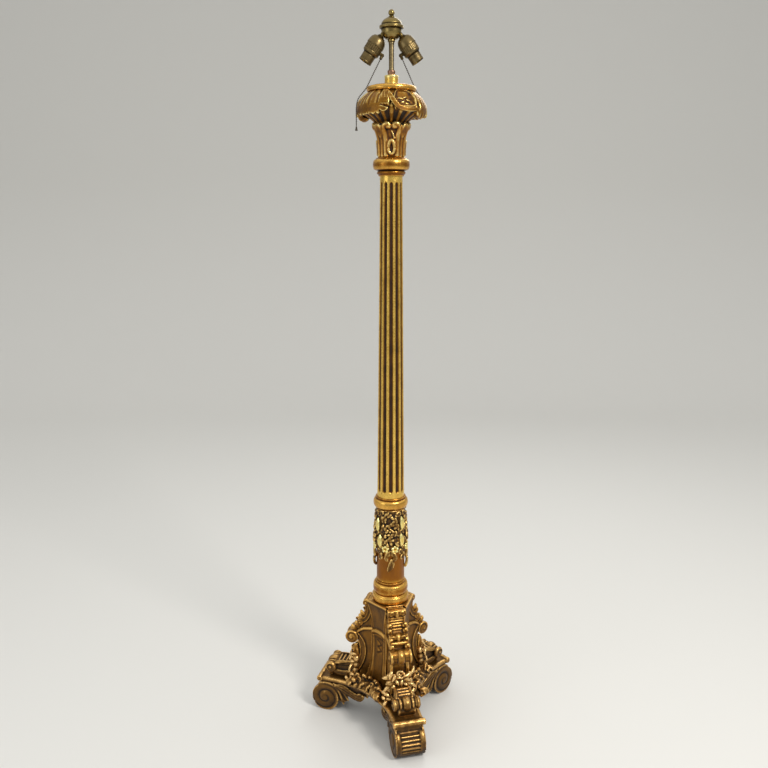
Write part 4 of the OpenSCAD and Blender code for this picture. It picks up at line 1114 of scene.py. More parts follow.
def foot_shape():
    """One leg: ribbed foot roll with coiled ends, the web under the plate, its straps and leaves."""

    def ribbed(a, t):
        angle = np.degrees(np.arctan2(np.sin(a), np.cos(a)))
        inner = ramp(np.abs(t), 25.0, -1.5)
        field = ramp(angle, -32, 4) * ramp(angle, 74, -3)
        rib = np.clip(0.35 + 0.65 * np.cos(2 * math.pi * (angle - 62) / 17), 0, 1) ** 0.7
        ear = 2.2 * np.exp(-(((angle - 42) / 27) ** 4))
        ear = ear * np.clip(1 - ((np.abs(t) - 31.5) / 6.5) ** 2, 0, 1) ** 0.7
        foot = 1.4 * ramp(angle, -30, -30)
        edge = -1.6 * ramp(np.abs(t), 37, 3) ** 2
        return FOOT_R - 2.2 + ear + foot - inner * field * 3.4 * (1 - rib) + edge

    shape = [roll((FOOT_X, FOOT_Z), FOOT_R, 79.0, turns=2.1, hand=-1, groove=4.2, boss=2.4, side=ribbed,
                  cols=180, spans=61, rows=44)]
    arch = [(92 + 58.5 * math.cos(a), 2 + 58.5 * math.sin(a)) for a in np.radians(np.linspace(32, 130, 14))]
    outline = [(186, 86), (188, 74), (190, 50), (160, 24), (146, 22), *arch, (55, 86)]
    shape.append(prism(outline[::-1], -31, 31))
    straps = (
        (4.0, [(192, 73), (184, 77), (172, 79), (157, 77), (144, 70), (134, 58), (128, 44), (124, 30),
               (121, 24)]),
        (3.2, [(168, 72), (152, 71), (140, 63), (131, 51), (124, 38), (118, 31)]),
        (3.6, [(150, 80), (138, 75), (127, 66), (118, 54), (112, 43), (108, 36)]),
    )
    cheek = [(176, 80), (176, 40), (140, 30), (122, 26), (108, 36), (112, 56), (130, 80)]
    for side in (-1, 1):
        # Straps leave the top of the coil, bend round it and run down behind it
        for fat, line in straps:
            path = smooth_line([(x, side * 34.5, z) for x, z in line], 50)
            shape.append(tapered(path, [0, 0.15, 0.7, 1], [0.5 * fat, fat, fat, 0.55 * fat]))
        shape.append(prism(cheek, side * 32 - 2, side * 32 + 2))
        # Long smooth leaf whose tip rolls up by the middle of the lamp
        spine = [(146, 36, 76), (126, 35, 70), (108, 34, 60), (92, 35, 52), (78, 37, 49), (68, 38, 53),
                 (64, 38, 61)]
        width = [5, 10, 12, 12, 11, 9, 4]
        shape.append(side_leaf(side, spine, (0, 0, 1), width, 3.6, 6, lobes=2, veins=0.6, depth=0.12))
        curl = spiral((76, 55), 8.5, 2.5, -150, -1.2, 30)
        shape.append(tube([(x, side * 39.0 - side * 2.6, z) for x, z in curl], np.linspace(3.0, 1.8, 30)))
        shape.append(blob((76, side * 35, 55), (9, 4.5, 9)))
    # Leaf on the underside of the arch
    spine = [(150, 0, 40), (135, 0, 56), (112, 0, 62), (88, 0, 62), (62, 0, 56)]
    shape.append(leaf(spine, (0, 1, 0), [10, 22, 27, 26, 14], lobes=4, rise=-3.0, thick=-4, up=(0, 0, 1)))
    return shape


def plate_loop(inset):
    """Outline of the plate between its tips, with its hollow sides, drawn in by inset."""
    reach, tip, waist = 188.0, 82.0, 84.0
    half = reach * math.sin(math.radians(60)) - tip / 2 * math.cos(math.radians(60))
    end = reach * math.cos(math.radians(60)) + tip / 2 * math.sin(math.radians(60))
    sag = end - waist
    radius = (half * half + sag * sag) / (2 * sag)
    out = []
    for turn in LEG_TURNS:
        c, s = math.cos(math.radians(turn)), math.sin(math.radians(turn))
        for t in np.linspace(-tip / 2 + inset, tip / 2 - inset, 12):
            x = reach - inset
            out.append((x * c - t * s, x * s + t * c))
        face = math.radians(turn + 60)
        c, s = math.cos(face), math.sin(face)
        swing = math.asin(min(0.999, (half - inset * 0.2) / radius))
        for a in np.linspace(-swing, swing, 72)[1:-1]:
            x = waist + radius - (radius + inset) * math.cos(a)
            t = (radius + inset) * math.sin(a)
            out.append((x * c - t * s, x * s + t * c))
    return np.array(out)


def build_plate():
    """Plate with a fat rounded edge over a thin fillet, and a rubbed bar across each tip."""
    edge = ((7.0, 84.0), (3.6, 84.1), (2.6, 84.9), (2.6, 85.9), (3.6, 86.6), (3.4, 87.2), (1.6, 87.8),
            (0.5, 89.4), (0.2, 91.2), (0.5, 93.2), (1.5, 95.0), (3.2, 96.3), (5.6, 97.0), (8.0, 97.0),
            (9.4, 96.2), (14.0, 96.0))
    shape = [stacked([np.insert(plate_loop(inset), 2, z, axis=1) for inset, z in edge])]

    def worn(a, t):
        return 8.0 + 0.25 * np.sin(t * 0.31 + 2 * np.cos(a)) - 1.2 * ramp(np.abs(t), 38, 4) ** 2

    bar = roll((188, 92.5), 8.0, 84.0, turns=1.1, groove=0.8, boss=0.5, side=worn, cols=40, rows=8,
               spans=60)
    for turn in LEG_TURNS:
        shape += moved([bar], turn)
    carve("base_plate_gilt", shape, 1.8, "foot gilding", ["base_plate"], smooth=1)


def knee_shape():
    """Roll with two coiled ends and a bright middle bead, and the ribbed band that rises behind it."""

    def swollen(a, t):
        t = np.abs(t)
        bead = 5.6 * half_round(t, 9.8)
        groove = -3.0 * bell(t, 11.3, 1.6) - 2.6 * bell(t, 20.5, 1.5)
        inner = 1.6 * np.clip(np.cos((t - 15.8) / 3.6 * math.pi / 2), 0, 1)
        outer = 1.4 * np.clip(np.cos((t - 28) / 6.5 * math.pi / 2), 0, 1)
        return 12.0 + bead + groove + (inner + outer) * (t > 11) - 1.4 * ramp(t, 33, 2.5) ** 2 + 0 * a

    shape = [roll((158, 127), 13.2, 70.0, turns=1.5, groove=2.2, boss=1.6, side=swollen, cols=90, spans=91,
                  rows=24)]
    # Short band in front under the roll, and the long one behind it, each over a solid core
    line = smooth_line([(168, 121), (170, 112), (166, 103), (158, 98)], 20)
    shape.append(band(line, 8, 22, rim=1.0))
    line = smooth_line([(93, 124), (94, 136), (104, 142), (118, 142), (132, 140), (144, 139), (152, 139)],
                       44)
    shape.append(band(line, 9, 21.0, rim=2.6, rim_w=0.15))
    outline = [(96, 97), (166, 97), (163, 112), (166, 128), (150, 136), (122, 138), (102, 139), (95, 131)]
    shape.append(prism(outline, -19, 19))
    for x, z in ((118, 142.6), (129, 141.4), (139.5, 140.2)):
        shape.append(tube([(x, -14, z), (x, 14, z)], 2.9, side=(1, 0, 0)))
    for side in (-1, 1):
        # Leaf that flares from the band's top down beside the roll
        spine = [(112, side * 19, 142), (126, side * 20.5, 142), (140, side * 23, 140),
                 (150, side * 26, 136)]
        shape.append(leaf(spine, (0, 1, -0.5 * side), [2.5, 4, 5.5, 3], lobes=1, rise=2.0 * side,
                          thick=4 * side, depth=0.05, veins=0.5, up=(0, 0.3, 1)))
        spine = [(162, 22, 114), (146, 23, 110), (126, 23, 108), (106, 24, 112), (94, 25, 120)]
        shape.append(side_leaf(side, spine, (0, 0, 1), [4, 8, 10, 8, 4], 2.4, 4, lobes=2, depth=0.15,
                               veins=0.6))
    return shape


# ---------------------------------------------------------------------------------------------
# Pedestal


def face_distance(z):
    """Distance of a pedestal face from the centre line at a height, least at the waist."""
    waist, waist_z, hollow = 42, 230, 600.0
    return waist + hollow - np.sqrt(hollow**2 - (np.asarray(z, float) - waist_z) ** 2)


def face_relief(places):
    """How far a face stands out at places (t, z): an arched moulding, sunk panels and an incised zigzag."""
    t, z = places[:, 0], places[:, 1]
    arch = smooth_line([(-38, 236), (-27, 246), (-14, 252), (0, 254), (14, 252), (27, 246), (38, 236)], 30)
    lift = 5.4 * half_round(gap_to(arch, places), 6.4)
    lift = lift + 1.7 * bell(gap_to(arch - [0, 11], places), 0, 1.7)
    lift = lift - 1.8 * ramp(z, 237, -3) * ramp(z, 112, 3) * ramp(np.abs(t), 17, -2)
    for side in (-1, 1):
        for rim, edge in (
            (1.9, [(19.5, 238), (19, 200), (21, 150), (27, 112)]),
            (1.7, [(20, 262), (22.5, 285), (28, 308), (34, 328)]),
        ):
            edge = smooth_line([(side * x, y) for x, y in edge], 20)
            lift = lift + rim * bell(gap_to(edge, places), 0, 2.0)
    zigzag = [(-7, 227), (7, 217), (-6, 208), (7, 200), (-6, 191)]
    lift = lift - 3.0 * bell(gap_to(zigzag, places), 0, 2.0)
    abacus = 2.6 * half_round(z - 332.5, 3.2)
    return lift + abacus


def build_pedestal_core():
    """Three hollow faces between the corner scrolls, carved in relief, and a thin abacus on top."""
    foot, top = (round(z, 1) for z in node_z("pedestal_core"))
    corner, half_corner = 46, 24.5
    rings = []
    for z in np.linspace(foot, top, 180):
        a = float(face_distance(z))
        half = (a * 0.866 - 25) * 2
        t = np.linspace(-half, half, 44)
        lift = face_relief(np.stack([t, np.full(44, z)], 1))
        ring = []
        for turn in LEG_TURNS:
            c, s = math.cos(math.radians(turn)), math.sin(math.radians(turn))
            for side in np.linspace(-half_corner, half_corner, 8):
                ring.append((corner * c - side * s, corner * s + side * c, z))
            c, s = math.cos(math.radians(turn + 60)), math.sin(math.radians(turn + 60))
            for place, out in zip(t, a + lift):
                ring.append((out * c - place * s, out * s + place * c, z))
        rings.append(ring)
    nodes = ["pedestal_core", "face_panels"]
    carve("pedestal_gilt", [stacked(rings)], 1.55, "pedestal gilding", nodes)


def corner_shape():
    """One corner scroll: top bow, ladder, second bow, bar, main volute and the C-scroll under it."""
    outline = [(44, 97), (86, 97), (78, 125), (70, 150), (62, 172), (60, 192), (66, 208), (78, 220),
               (82, 236), (76, 250), (68, 264), (62, 284), (57, 300), (55, 313), (54, 334), (44, 334)]
    shape = [prism(outline, -20, 20)]
    # Lower C-scroll: off the main volute's top, in to the body and out again at the foot
    line = [(113, 227), (108, 234), (100, 236.5), (91, 234), (82, 226), (74, 212), (70, 196), (69.5, 178),
            (73, 160), (80, 143), (89, 127), (96, 110), (98, 99)]
    line = smooth_line(line, 90)
    reach = np.interp(np.linspace(0, 1, 90), [0, 0.1, 0.22, 0.36, 0.8, 1], [1.5, 3.2, 5.0, 8.6, 8.0, 5.0])
    shape.append(strap(line, reach, 25.0, edge=2.2, share=0.17))

    def grooved(a, t):
        t = np.abs(t)
        middle = 5.4 * half_round(t, 9.0)
        grooves = -2.2 * bell(t, 10.0, 1.2) - 1.8 * bell(t, 15.6, 1.1) - 1.8 * bell(t, 20.4, 1.1)
        return 14.4 + middle + grooves + 3.0 * ramp(t, 20.8, 1.6) - 1.2 * ramp(t, 26.5, 1.5) ** 2 + 0 * a

    shape.append(roll((100, 222), 17.6, 56.0, turns=1.9, hand=-1, groove=3.0, boss=2.6, side=grooved,
                      cols=110, spans=101, rows=30))
    for side in (-1, 1):
        # The face's arched moulding goes on over the scroll's side, up to the volute
        arch = [(88, 233), (80, 241), (69, 248), (56, 251), (46, 252), (38, 252)]
        arch = smooth_line([(x, side * (20.5 + (88 - x) * 0.06), z) for x, z in arch], 40)
        shape.append(tube(arch, np.linspace(3.6, 5.4, 40), side=(0, 1, 0)))
    # Flat bar over the main volute, notched at its ends
    shape.append(prism([(80, 249), (91, 249.5), (92.5, 253), (91, 257), (80, 258)], -23.5, 23.5))

    def bow(a, t):
        t = np.abs(t)
        bead = 3.8 * half_round(t, 7.0) - 2.6 * bell(t, 8.8, 1.7)
        return 5.8 + bead + 2.6 * bell(t, 17, 4.5) + 1.4 * ramp(t, 22, 2) + 0 * a

    # Second bow, which ends the ladder, and the top bow, each with curled ends and a drop
    for x, z in ((77, 265), (60, 323)):
        shape.append(roll((x, z), 8.6 if z < 300 else 10.2, 49.0, turns=1.4, groove=2.4, boss=1.4,
                          side=bow, cols=64, spans=81, rows=18))
        shape.append(blob((x + 7.5, 0, z - 3), (4.0, 4.8, 8.0)))
        for side in (-1, 1):
            curl = spiral((0, 0), 6.6, 2.0, 200, -1.3, 26)
            shape.append(tube([(x + 7.0 - 0.15 * abs(p), side * (14.5 + p), z + q) for p, q in curl],
                              np.linspace(2.6, 1.6, 26), side=(1, 0, 0)))
    # Ladder between the bows: ribs between two bright rails, on a hollow line
    rails = smooth_line([(62, 314), (60, 306), (60.5, 296), (63, 285), (67, 277), (72, 271)], 40)
    shape.append(band(rails, 8, 22.5, rim=3.2, rim_w=0.12))
    for z in (308.5, 301.5, 294.5, 287.5, 280.5):
        x = float(np.interp(-z, -rails[:, 1], rails[:, 0]))
        shape.append(tube([(x + 1.0, -16.5, z), (x + 1.0, 16.5, z)], 2.3, side=(1, 0, 0)))
    # Upper C-scroll, behind the ladder
    line = smooth_line([(67, 329), (59, 330), (53, 324), (51, 312), (52, 299), (56, 287), (62, 277),
                        (70, 270), (80, 268)], 60)
    reach = np.interp(np.linspace(0, 1, 60), [0, 0.2, 0.8, 1], [2.0, 4.6, 5.6, 3.0])
    shape.append(strap(line, reach, 24.5, edge=1.9, share=0.2))
    for side in (-1, 1):
        # Leaves that spill over the outer edge, above the main volute and behind its foot
        for x, z, size in ((69, 292, 5.2), (74, 280, 6.6), (84, 259, 6.6), (95, 247, 6.0)):
            shape.append(blob((x - 2, side * 19, z - 2), (size, 6.0, size)))
            spine = [(x - 7, 21, z - 5), (x - 1, 24.5, z), (x + 4, 24, z + 5), (x + 7, 21, z + 8)]
            shape.append(side_leaf(side, spine, (0.6, 0, -0.8), [3, 6.0, 5.5, 2.5], 2.2, 5, lobes=1,
                                   rows=21, cols=13, depth=0.1, veins=0.6))
        spine = [(88, 22, 204), (90, 23, 190), (88, 23, 176), (90, 23, 160), (98, 21, 148)]
        shape.append(side_leaf(side, spine, (1, 0, 0.2), [4, 8, 9, 8, 4], 2.6, 6, lobes=2, depth=0.2,
                               veins=0.8))
    shape.append(prism([(70, 205), (84, 204), (90, 190), (88, 160), (96, 140), (80, 140)], -18, 18))
    return shape


def petal(place, turn, length, width, face):
    """Plump pointed petal with its middle at a place, turned in the plane that looks along face."""
    face = unit(np.asarray(face, float))
    level = unit(np.cross((0.0, 0.0, 1.0), face))
    rise = np.cross(face, level)
    a = math.radians(turn)
    along = math.cos(a) * level + math.sin(a) * rise
    across = math.cos(a) * rise - math.sin(a) * level
    place = np.asarray(place, float)
    steps = ((-0.58, -2.5), (-0.3, 1.0), (0.05, 2.4), (0.35, 1.4), (0.62, -2.0))
    spine = [place + along * length * u + face * h for u, h in steps]
    width = [width * share for share in (0.12, 0.46, 0.52, 0.36, 0.08)]
    return leaf(spine, across, width, lobes=1, rise=3.0, thick=3.5, rows=25, cols=15, veins=0.35,
                depth=0.04, up=face)


def garland_shape(face, rng):
    """Leaves, petals and berries heaped along the foot of one face and over the plate's edge."""
    shape = []
    for t in np.linspace(-42, 42, 9):
        x = 64 + 0.012 * t * t
        shape.append(blob((x, t, 100), (13, 9, 10)))
        shape.append(blob((x - 5, t, 112), (8, 8, 12)))
    for k in range(9):
        t = -46 + 92 * k / 8 + rng.uniform(-3, 3)
        root = 60 + 0.014 * t * t + rng.uniform(-2, 3)
        length = rng.uniform(22, 29)
        lean = rng.uniform(-0.6, 0.6) + t / 60
        high = 103 + rng.uniform(2, 10)
        out = unit(np.array([1.0, lean]))
        tip = 84.0 if abs(t) < 30 else 92.0
        spine = [
            (root, t, high),
            (root + out[0] * length * 0.35, t + out[1] * length * 0.35, high + 7),
            (root + out[0] * length * 0.75, t + out[1] * length * 0.75, high + 2),
            (min(root + out[0] * length, tip + 4), t + out[1] * length, high - 10),
        ]
        side = (-out[1], out[0], rng.uniform(-0.4, 0.4))
        shape.append(leaf(spine, side, rng.uniform(9, 12.5), lobes=3, rise=-3.0, thick=-4, rows=33,
                          cols=19, veins=0.9, depth=0.24))
    for k in range(6):
        t = -40 + 80 * k / 5 + rng.uniform(-5, 5)
        root = 58 + 0.01 * t * t
        bend = rng.uniform(-6, 6)
        spine = [(root, t, 106), (root + 3, t + bend * 0.3, 118), (root + 8, t + bend * 0.7, 129),
                 (root + 15, t + bend, 133)]
        shape.append(leaf(spine, (0, 1, rng.uniform(-0.3, 0.3)), rng.uniform(7.5, 10), lobes=2, rise=2.8,
                          thick=4, rows=29, cols=17, veins=0.8, depth=0.2))
    for t, z in ((-30, 122), (8, 116), (34, 124)):
        curl = spiral((t + rng.uniform(-4, 4), z), 7.5, 3.0, rng.uniform(0, 360), 1.1, 24)
        shape.append(tube([(74 + 0.012 * t * t, p, q) for p, q in curl], np.linspace(2.6, 1.8, 24),
                          side=(1, 0, 0)))
    places = (-41, -16, 5, 24)
    berries = [(72 + 0.012 * t * t + rng.uniform(-3, 6), t, 106 + rng.uniform(0, 14)) for t in places]
    shape.append(buds(berries, 5.8, 0.8, 1.15, seed=11 + face))
    return shape


def bouquet_shape(rng):
    """Bright petals, a curled leaf and berries in front of a corner scroll's foot, over the knee's band."""
    shape = []
    for t in (-27, -14, 0, 14, 27):
        for z in (108, 126, 144, 160):
            shape.append(blob((86 + (160 - z) * 0.12, t, z), (8, 7, 10)))
    # Each petal: place across, height, turn in degrees, length and width
    petals = [(-24, 176, 75, 18, 10), (-15, 168, 60, 17, 9), (-35, 165, 10, 16, 10),
              (-26, 152, 20, 17, 14), (-6, 168, -20, 16, 9), (13, 161, -35, 19, 11), (23, 171, 5, 27, 9),
              (25, 150, 30, 15, 12), (35, 177, 40, 16, 8), (3, 152, 80, 14, 9), (-10, 156, -60, 15, 9),
              (-33, 140, 45, 18, 10), (33, 138, -50, 18, 10), (-38, 122, -20, 20, 11),
              (37, 121, 20, 20, 11), (-29, 110, 10, 18, 11), (29, 109, -15, 18, 11)]
    for t, z, turn, length, width in petals:
        x = 105 - 0.009 * t * t + rng.uniform(-1.5, 1.5) + (z < 145) * 4
        face = (0.75, t * 0.012, 0.62 + rng.uniform(-0.2, 0.2))
        shape.append(petal((x, t, z), turn, length * 1.3, width, face))
    around = np.linspace(-0.4, 1.7 * math.pi, 30)
    curl = [(104 + 1.5 * math.sin(2 * a), -1 + 7.5 * math.cos(a), 178 + 6.0 * math.sin(a)) for a in around]
    shape.append(tube(curl, np.linspace(3.4, 2.0, 30), side=(1, 0, 0)))
    berries = [(110, -42, 104), (104, 42, 104), (112, 34, 104), (98, -44, 112), (106, 12, 148),
               (104, -20, 144)]
    shape.append(buds(berries, 5.6, 0.85, 1.15, seed=31))
    return shape


def build_garland(grain):
    """Leaves along the foot of each face, and the bright petals in front of each corner."""
    rng = np.random.RandomState(7)
    shape, bouquets = [], []
    for k, turn in enumerate(LEG_TURNS):
        shape += moved(garland_shape(k, rng), turn + 60)
        bouquets += moved(bouquet_shape(rng), turn)
    carve("garland_gilt", shape, grain, "foot gilding", ["leaf_garland"], floor=90.0)
    carve("petals_gilt", bouquets, grain, "garland gilding", [], floor=97.0)


# ---------------------------------------------------------------------------------------------
# Turned column


def build_mouldings():
    """Collars, rings and the vase, as closed profiles of (radius, height)."""
    burnished, column = "burnished gilding", "giltwood_column"
    loop = [(20, 0), (41.5, 0), (41.8, 1.4), *swell(43.5, 47.4, 2, 18.5), (43.6, 21.4), (41.5, 23),
            (20, 23)]
    turn_piece("base_collar_gilt", loop, burnished, ["base_collar"], column, seed=2)
    loop = [(20, 0), (40, 0), (40, 1.2), *swell(40.4, 45, 1.8, 26), (39.4, 28.6), (38, 29),
            *swell(36.8, 38.4, 29.2, 5.2), (20, 35)]
    turn_piece("vase_ring_gilt", loop, burnished, ["vase_ring"], column, seed=3)
    # The vase's own foot is a tenon down in the pedestal
    loop = [(20, 78), (36, 78), (35.6, 105), (36.2, 155), (36.6, 205), (36.2, 255), (36, 276), (20, 276)]
    turn_piece("vase_gilt", loop, "drum gilding", ["vase"], column, seed=4, wobble=0.2, step=3.2)
    loop = [(20, 0), (36.8, 0), (37, 2.2), *swell(38.4, 44, 3, 21), (37.4, 25),
            *swell(36.8, 38.4, 25.6, 4), (20, 30)]
    turn_piece("lower_collar_gilt", loop, burnished, ["shaft_collar_lower"], column, seed=5)
    loop = [(20, 0), (30, 0), (30.4, 3), *swell(31, 33.6, 4, 7), (31.2, 12), *swell(37, 43.3, 14, 24),
            (36.2, 38.6), (35.8, 40.6), (32, 41.4), (31.4, 44), (20, 44)]
    turn_piece("upper_collar_gilt", loop, burnished, ["shaft_collar_upper"], column, seed=6)
    loop = [(12, 0), (50, 0), *swell(51.4, 57.3, 0.6, 12.4), (50.6, 13.4), (47, 14.4), (17, 15), (12, 15)]
    turn_piece("crown_ring_gilt", loop, burnished, ["crown_ring"], column, seed=7)
    loop = [(6.6, 0), (16, 0), (16.4, 2), (15.4, 4), (15.6, 17), (16.4, 20), (15.6, 22), (6.6, 22)]
    turn_piece("candle_cup_gilt", loop, "cup gilding", ["candle_cup"], "burnished_gilt", segments=96,
               wobble=0.05)


def build_shaft(sizes):
    """Fluted shaft, made whole by its node tree between the two collars of the CAD model."""
    low, high = node_z("shaft_collar_lower")[1], node_z("shaft_collar_upper")[0]
    obj = points_object("shaft_gilt", [(0, 0, 0)])
    values = {
        "Length": (high - low) * MM,
        "Foot Height": low * MM,
        "Flutes": sizes.flutes,
        "Flute Depth": sizes.flute_depth,
        "Material": MATERIALS["column gilding"],
    }
    run_nodes(obj, fluted_tree(), values)
    weld(obj, 0.00001)
    dress(obj, "column gilding", ["shaft"])


# ---------------------------------------------------------------------------------------------
# Capital


def calyx_shape():
    """Cup of four petals: bright lobes over an arched recess, an oval ring, and curled corner lips."""
    loop = [(18, 1451), (29.6, 1451.5), (29.0, 1463), (29.6, 1477), (30.4, 1490), (32.5, 1503), (36, 1514),
            (34, 1521), (18, 1525)]
    shape = [turned(loop, 144)]
    lobe = [(4, 38, 1517), (10, 40, 1521.5), (18, 41, 1522), (26, 40, 1518), (29, 36.8, 1509),
            (27.5, 32.6, 1498), (26, 29.8, 1484), (25.5, 28.8, 1468), (25, 28.4, 1454)]
    sliver = [(1, 34.6, 1507), (6, 33.8, 1500), (12, 32.6, 1491)]
    lip = [(33, 1494), (37, 1506), (42.5, 1514.5), (45.5, 1519.5), (43, 1523.5)]
    reed = [(45, 26.2, 1453), (45, 26.4, 1466), (45, 27.2, 1481), (45, 29.4, 1496)]
    for middle in (-90, 0, 90, 180):
        for side in (-1, 1):
            # Lobe over the recess, whose rim runs down beside it
            path = round_line(middle, [(side * a, r, z) for a, r, z in lobe], 60)
            shape.append(tapered(path, [0, 0.12, 1], [4.0, 6.2, 6.2]))
            shape.append(blob(on_round(middle + side * 12, 37.5, 1517.5), (8.5, 8.5, 7.0)))
        # Sliver of a furled leaf across the recess
        shape.append(tube(round_line(middle, sliver, 16), np.linspace(1.2, 2.2, 16)))
        # Oval ring under the recess, narrower at its top
        turns = np.linspace(0.2, 2 * math.pi + 0.2, 49)
        ring = []
        for a in turns:
            sideways = 13.0 * math.sin(a) * (1 - 0.14 * math.cos(a))
            ring.append(on_round(middle + sideways, 31.6, 1471.5 + 14.6 * math.cos(a)))
        shape.append(tube(ring, 3.9 + 0.9 * np.cos(turns)))
        # Corner lip that curls out between two petals, over a narrow reed
        spine = [on_round(middle + 45, r, z) for r, z in lip]
        across = on_round(middle + 135, 1, 0)
        shape.append(leaf(spine, across, [4, 8, 11, 10, 5], lobes=2, rise=2.4, thick=3.4, depth=0.15))
        shape.append(tube(round_line(middle, reed, 24), 6.4))
    return shape


# Profile of the crown's bell, from the calyx up to the ring
BELL = [(35, 1525), (36.5, 1528), (40, 1532), (46, 1538), (54, 1544), (62, 1550), (66, 1560), (64, 1575),
        (57, 1588), (50, 1594)]


def crown_shape():
    """Bell with broad ribs underneath, and on it two sets of big overturned leaves."""
    shape = [turned([(14, 1525), *BELL, (14, 1594)], 160)]
    for k in range(18):
        rib = round_line(20 * k + 10, [(0, r - 2.4, z) for r, z in BELL[:7]], 24)
        shape.append(tube(rib, np.linspace(4.0, 6.4, 24)))

    def striped(u, v):
        """Fat flutes that run down the leaf to a scalloped edge."""
        across = 2.6 * v + 0.32 * np.sin(5.0 * v + 1.0) + 0.25 * u
        lines = (3.0 + np.sin(7.0 * v + 2.0 * u)) * np.abs(np.sin(math.pi * across)) ** 0.7
        tuck = -7.0 * ramp(np.abs(v), 0.86, 0.14) ** 2 - 9.0 * ramp(u, 0.92, 0.08) ** 2
        return lines * (0.4 + 0.6 * u) + tuck + 0.6

    def veined(u, v):
        """Small leaf with fine veins."""
        tuck = -4.0 * ramp(np.abs(v), 0.7, 0.3) ** 2 - 5.0 * ramp(u, 0.85, 0.15) ** 2
        return 1.2 * np.abs(np.sin(math.pi * (2.0 * v - 1.2 * u))) + tuck + 2.2

    def hollowed(u, v):
        """Sunk middle over a raised foot."""
        dish = np.clip(1 - (v / 0.95) ** 4 - ((u - 0.42) / 0.4) ** 4, 0, 1) ** 0.6
        uneven = 1.1 * np.sin(9 * v + 4 * u) * np.sin(19 * u - 6 * v)
        return 1.5 - 9.5 * dish + dish * uneven - 7.0 * ramp(u, 0.92, 0.08) ** 2

    def lobed(u, v):
        """Round lobe with an eye where its edge curls under its neighbour."""
        eye = bell(v, -0.62, 0.16) * bell(u, 0.62, 0.09)
        lines = 1.8 * np.abs(np.sin(math.pi * (2.2 * v - 0.7 * u)))
        tuck = -7.0 * ramp(np.abs(v), 0.84, 0.16) ** 2 - 10 * ramp(u, 0.9, 0.1) ** 2
        return 1.0 + lines * (0.3 + u) * 0.8 - 10.0 * eye + tuck

    def scallops(v):
        return 0.045 * np.abs(np.cos(2.6 * math.pi * v))

    def pointed(v):
        return 0.16 * v**2

    big = {"thick": 6.0, "rows": 64, "cols": 81, "scallop": scallops}
    over = [(49, 1595), (60, 1588), (71, 1577), (77.5, 1566), (81, 1553), (80, 1543), (76, 1537)]
    small_over = [(52, 1594), (62, 1587), (73, 1577), (79, 1565), (79, 1557)]
    sunk_over = [(50, 1594), (61, 1588), (71, 1577), (77, 1566), (79, 1556), (76, 1547)]
    lobe_over = [(50, 1594), (62, 1587), (73, 1575), (79, 1562), (81, 1549), (78, 1538), (70, 1530)]
    # Flakes of bright leaf left in the sunk middle: angle, height, lean and length
    flakes = ((-73, 1573, -20, 7), (-63, 1576, 25, 5), (-58, 1569, -35, 6), (-70, 1565, 30, 5),
              (-61, 1562, -15, 6))
    tip = ((-113, 78, 1558), (-108, 81, 1552.5), (-102, 81.5, 1550), (-96, 79, 1552))
    strap_line = [(-97, 57, 1590), (-93, 70, 1582), (-87, 79, 1568), (-79, 81.6, 1555), (-70, 81.4, 1550.5),
                  (-58, 80.6, 1549), (-44, 80, 1551)]
    for half in (0, 180):
        shape.append(wrapped(over, half - 136, [19, 24, 26, 27, 25], striped, **big))
        shape.append(wrapped(over, half + 7, [8, 11, 12, 13, 11], striped, **big))
        shape.append(wrapped(small_over, half - 103, [6, 9, 10, 9], veined, thick=6.0))
        shape.append(wrapped(sunk_over, half - 65, [13, 19, 21, 21, 19], hollowed, thick=5.0))
        shape.append(wrapped(lobe_over, half - 27, [11, 16, 19, 20, 15], lobed, lean=-3, thick=6.0,
                             scallop=pointed))
        for a, z, lean, long in flakes:
            c, d = math.cos(math.radians(lean)) * long / 1.25, math.sin(math.radians(lean)) * long * 0.5
            r = 70.5 - abs(z - 1568) * 0.3 - (z - 1568) * 0.5
            flake = round_line(half + a, [(-c, r, z - d), (0, r + 1.2, z), (c, r, z + d)], 10)
            shape.append(tube(flake, [0.8, *[1.7] * 8, 0.8]))
        # Bright tip that curls up under the small leaf
        spine = [on_round(a + half, r, z) for a, r, z in tip]
        shape.append(leaf(spine, (0, 0, 1), [2, 5.5, 5.5, 1.5], lobes=1, rise=3.0, thick=5, depth=0.05,
                          veins=0.3))
        # Strap that runs down from the ring and on as the rim of the sunk leaf
        shape.append(tapered(round_line(half, strap_line, 50), [0, 0.3, 0.6, 1], [3.2, 5.4, 4.2, 4.0]))
    return shape


def inside_crown(co):
    """Holds the crown's points inside its node's height and the room that the chains leave it."""
    heights = [1533, 1545, 1556, 1566, 1575, 1583, 1591]
    top = np.interp(co[:, 2], heights, [81.6, 82.3, 82.0, 80.8, 78.0, 73.0, 65.0])
    radius = np.hypot(co[:, 0], co[:, 1])
    scale = np.minimum(1.0, top / np.maximum(radius, 1))
    co[:, :2] *= scale[:, None]
    co[:, 2] = np.clip(co[:, 2], 1525.0, 1594.5)
    return co


def build_capital(grain):
    """The calyx and the crown on it."""
    carve("calyx_gilt", calyx_shape(), 1.15, "calyx gilding", ["calyx"])
    carve("crown_gilt", crown_shape(), grain * 1.15, "capital gilding", ["crown"],
          limit=inside_crown)


# ---------------------------------------------------------------------------------------------
# Festoons on the vase


def flower(angle, z):
    """Five-petalled flower with a sunk eye, on a bunch of the vase."""
    size, radius, out = 6.4, 41, 42.5
    shape = []
    for k in range(5):
        turn = 2 * math.pi * k / 5 + 0.3
        a = angle + math.degrees(size * math.cos(turn) / radius)
        shape.append(blob(on_round(a, out - 0.4, z + size * math.sin(turn)), size * 0.62))
    shape.append(blob(on_round(angle, out - 2.2, z), size * 0.4))
    return shape


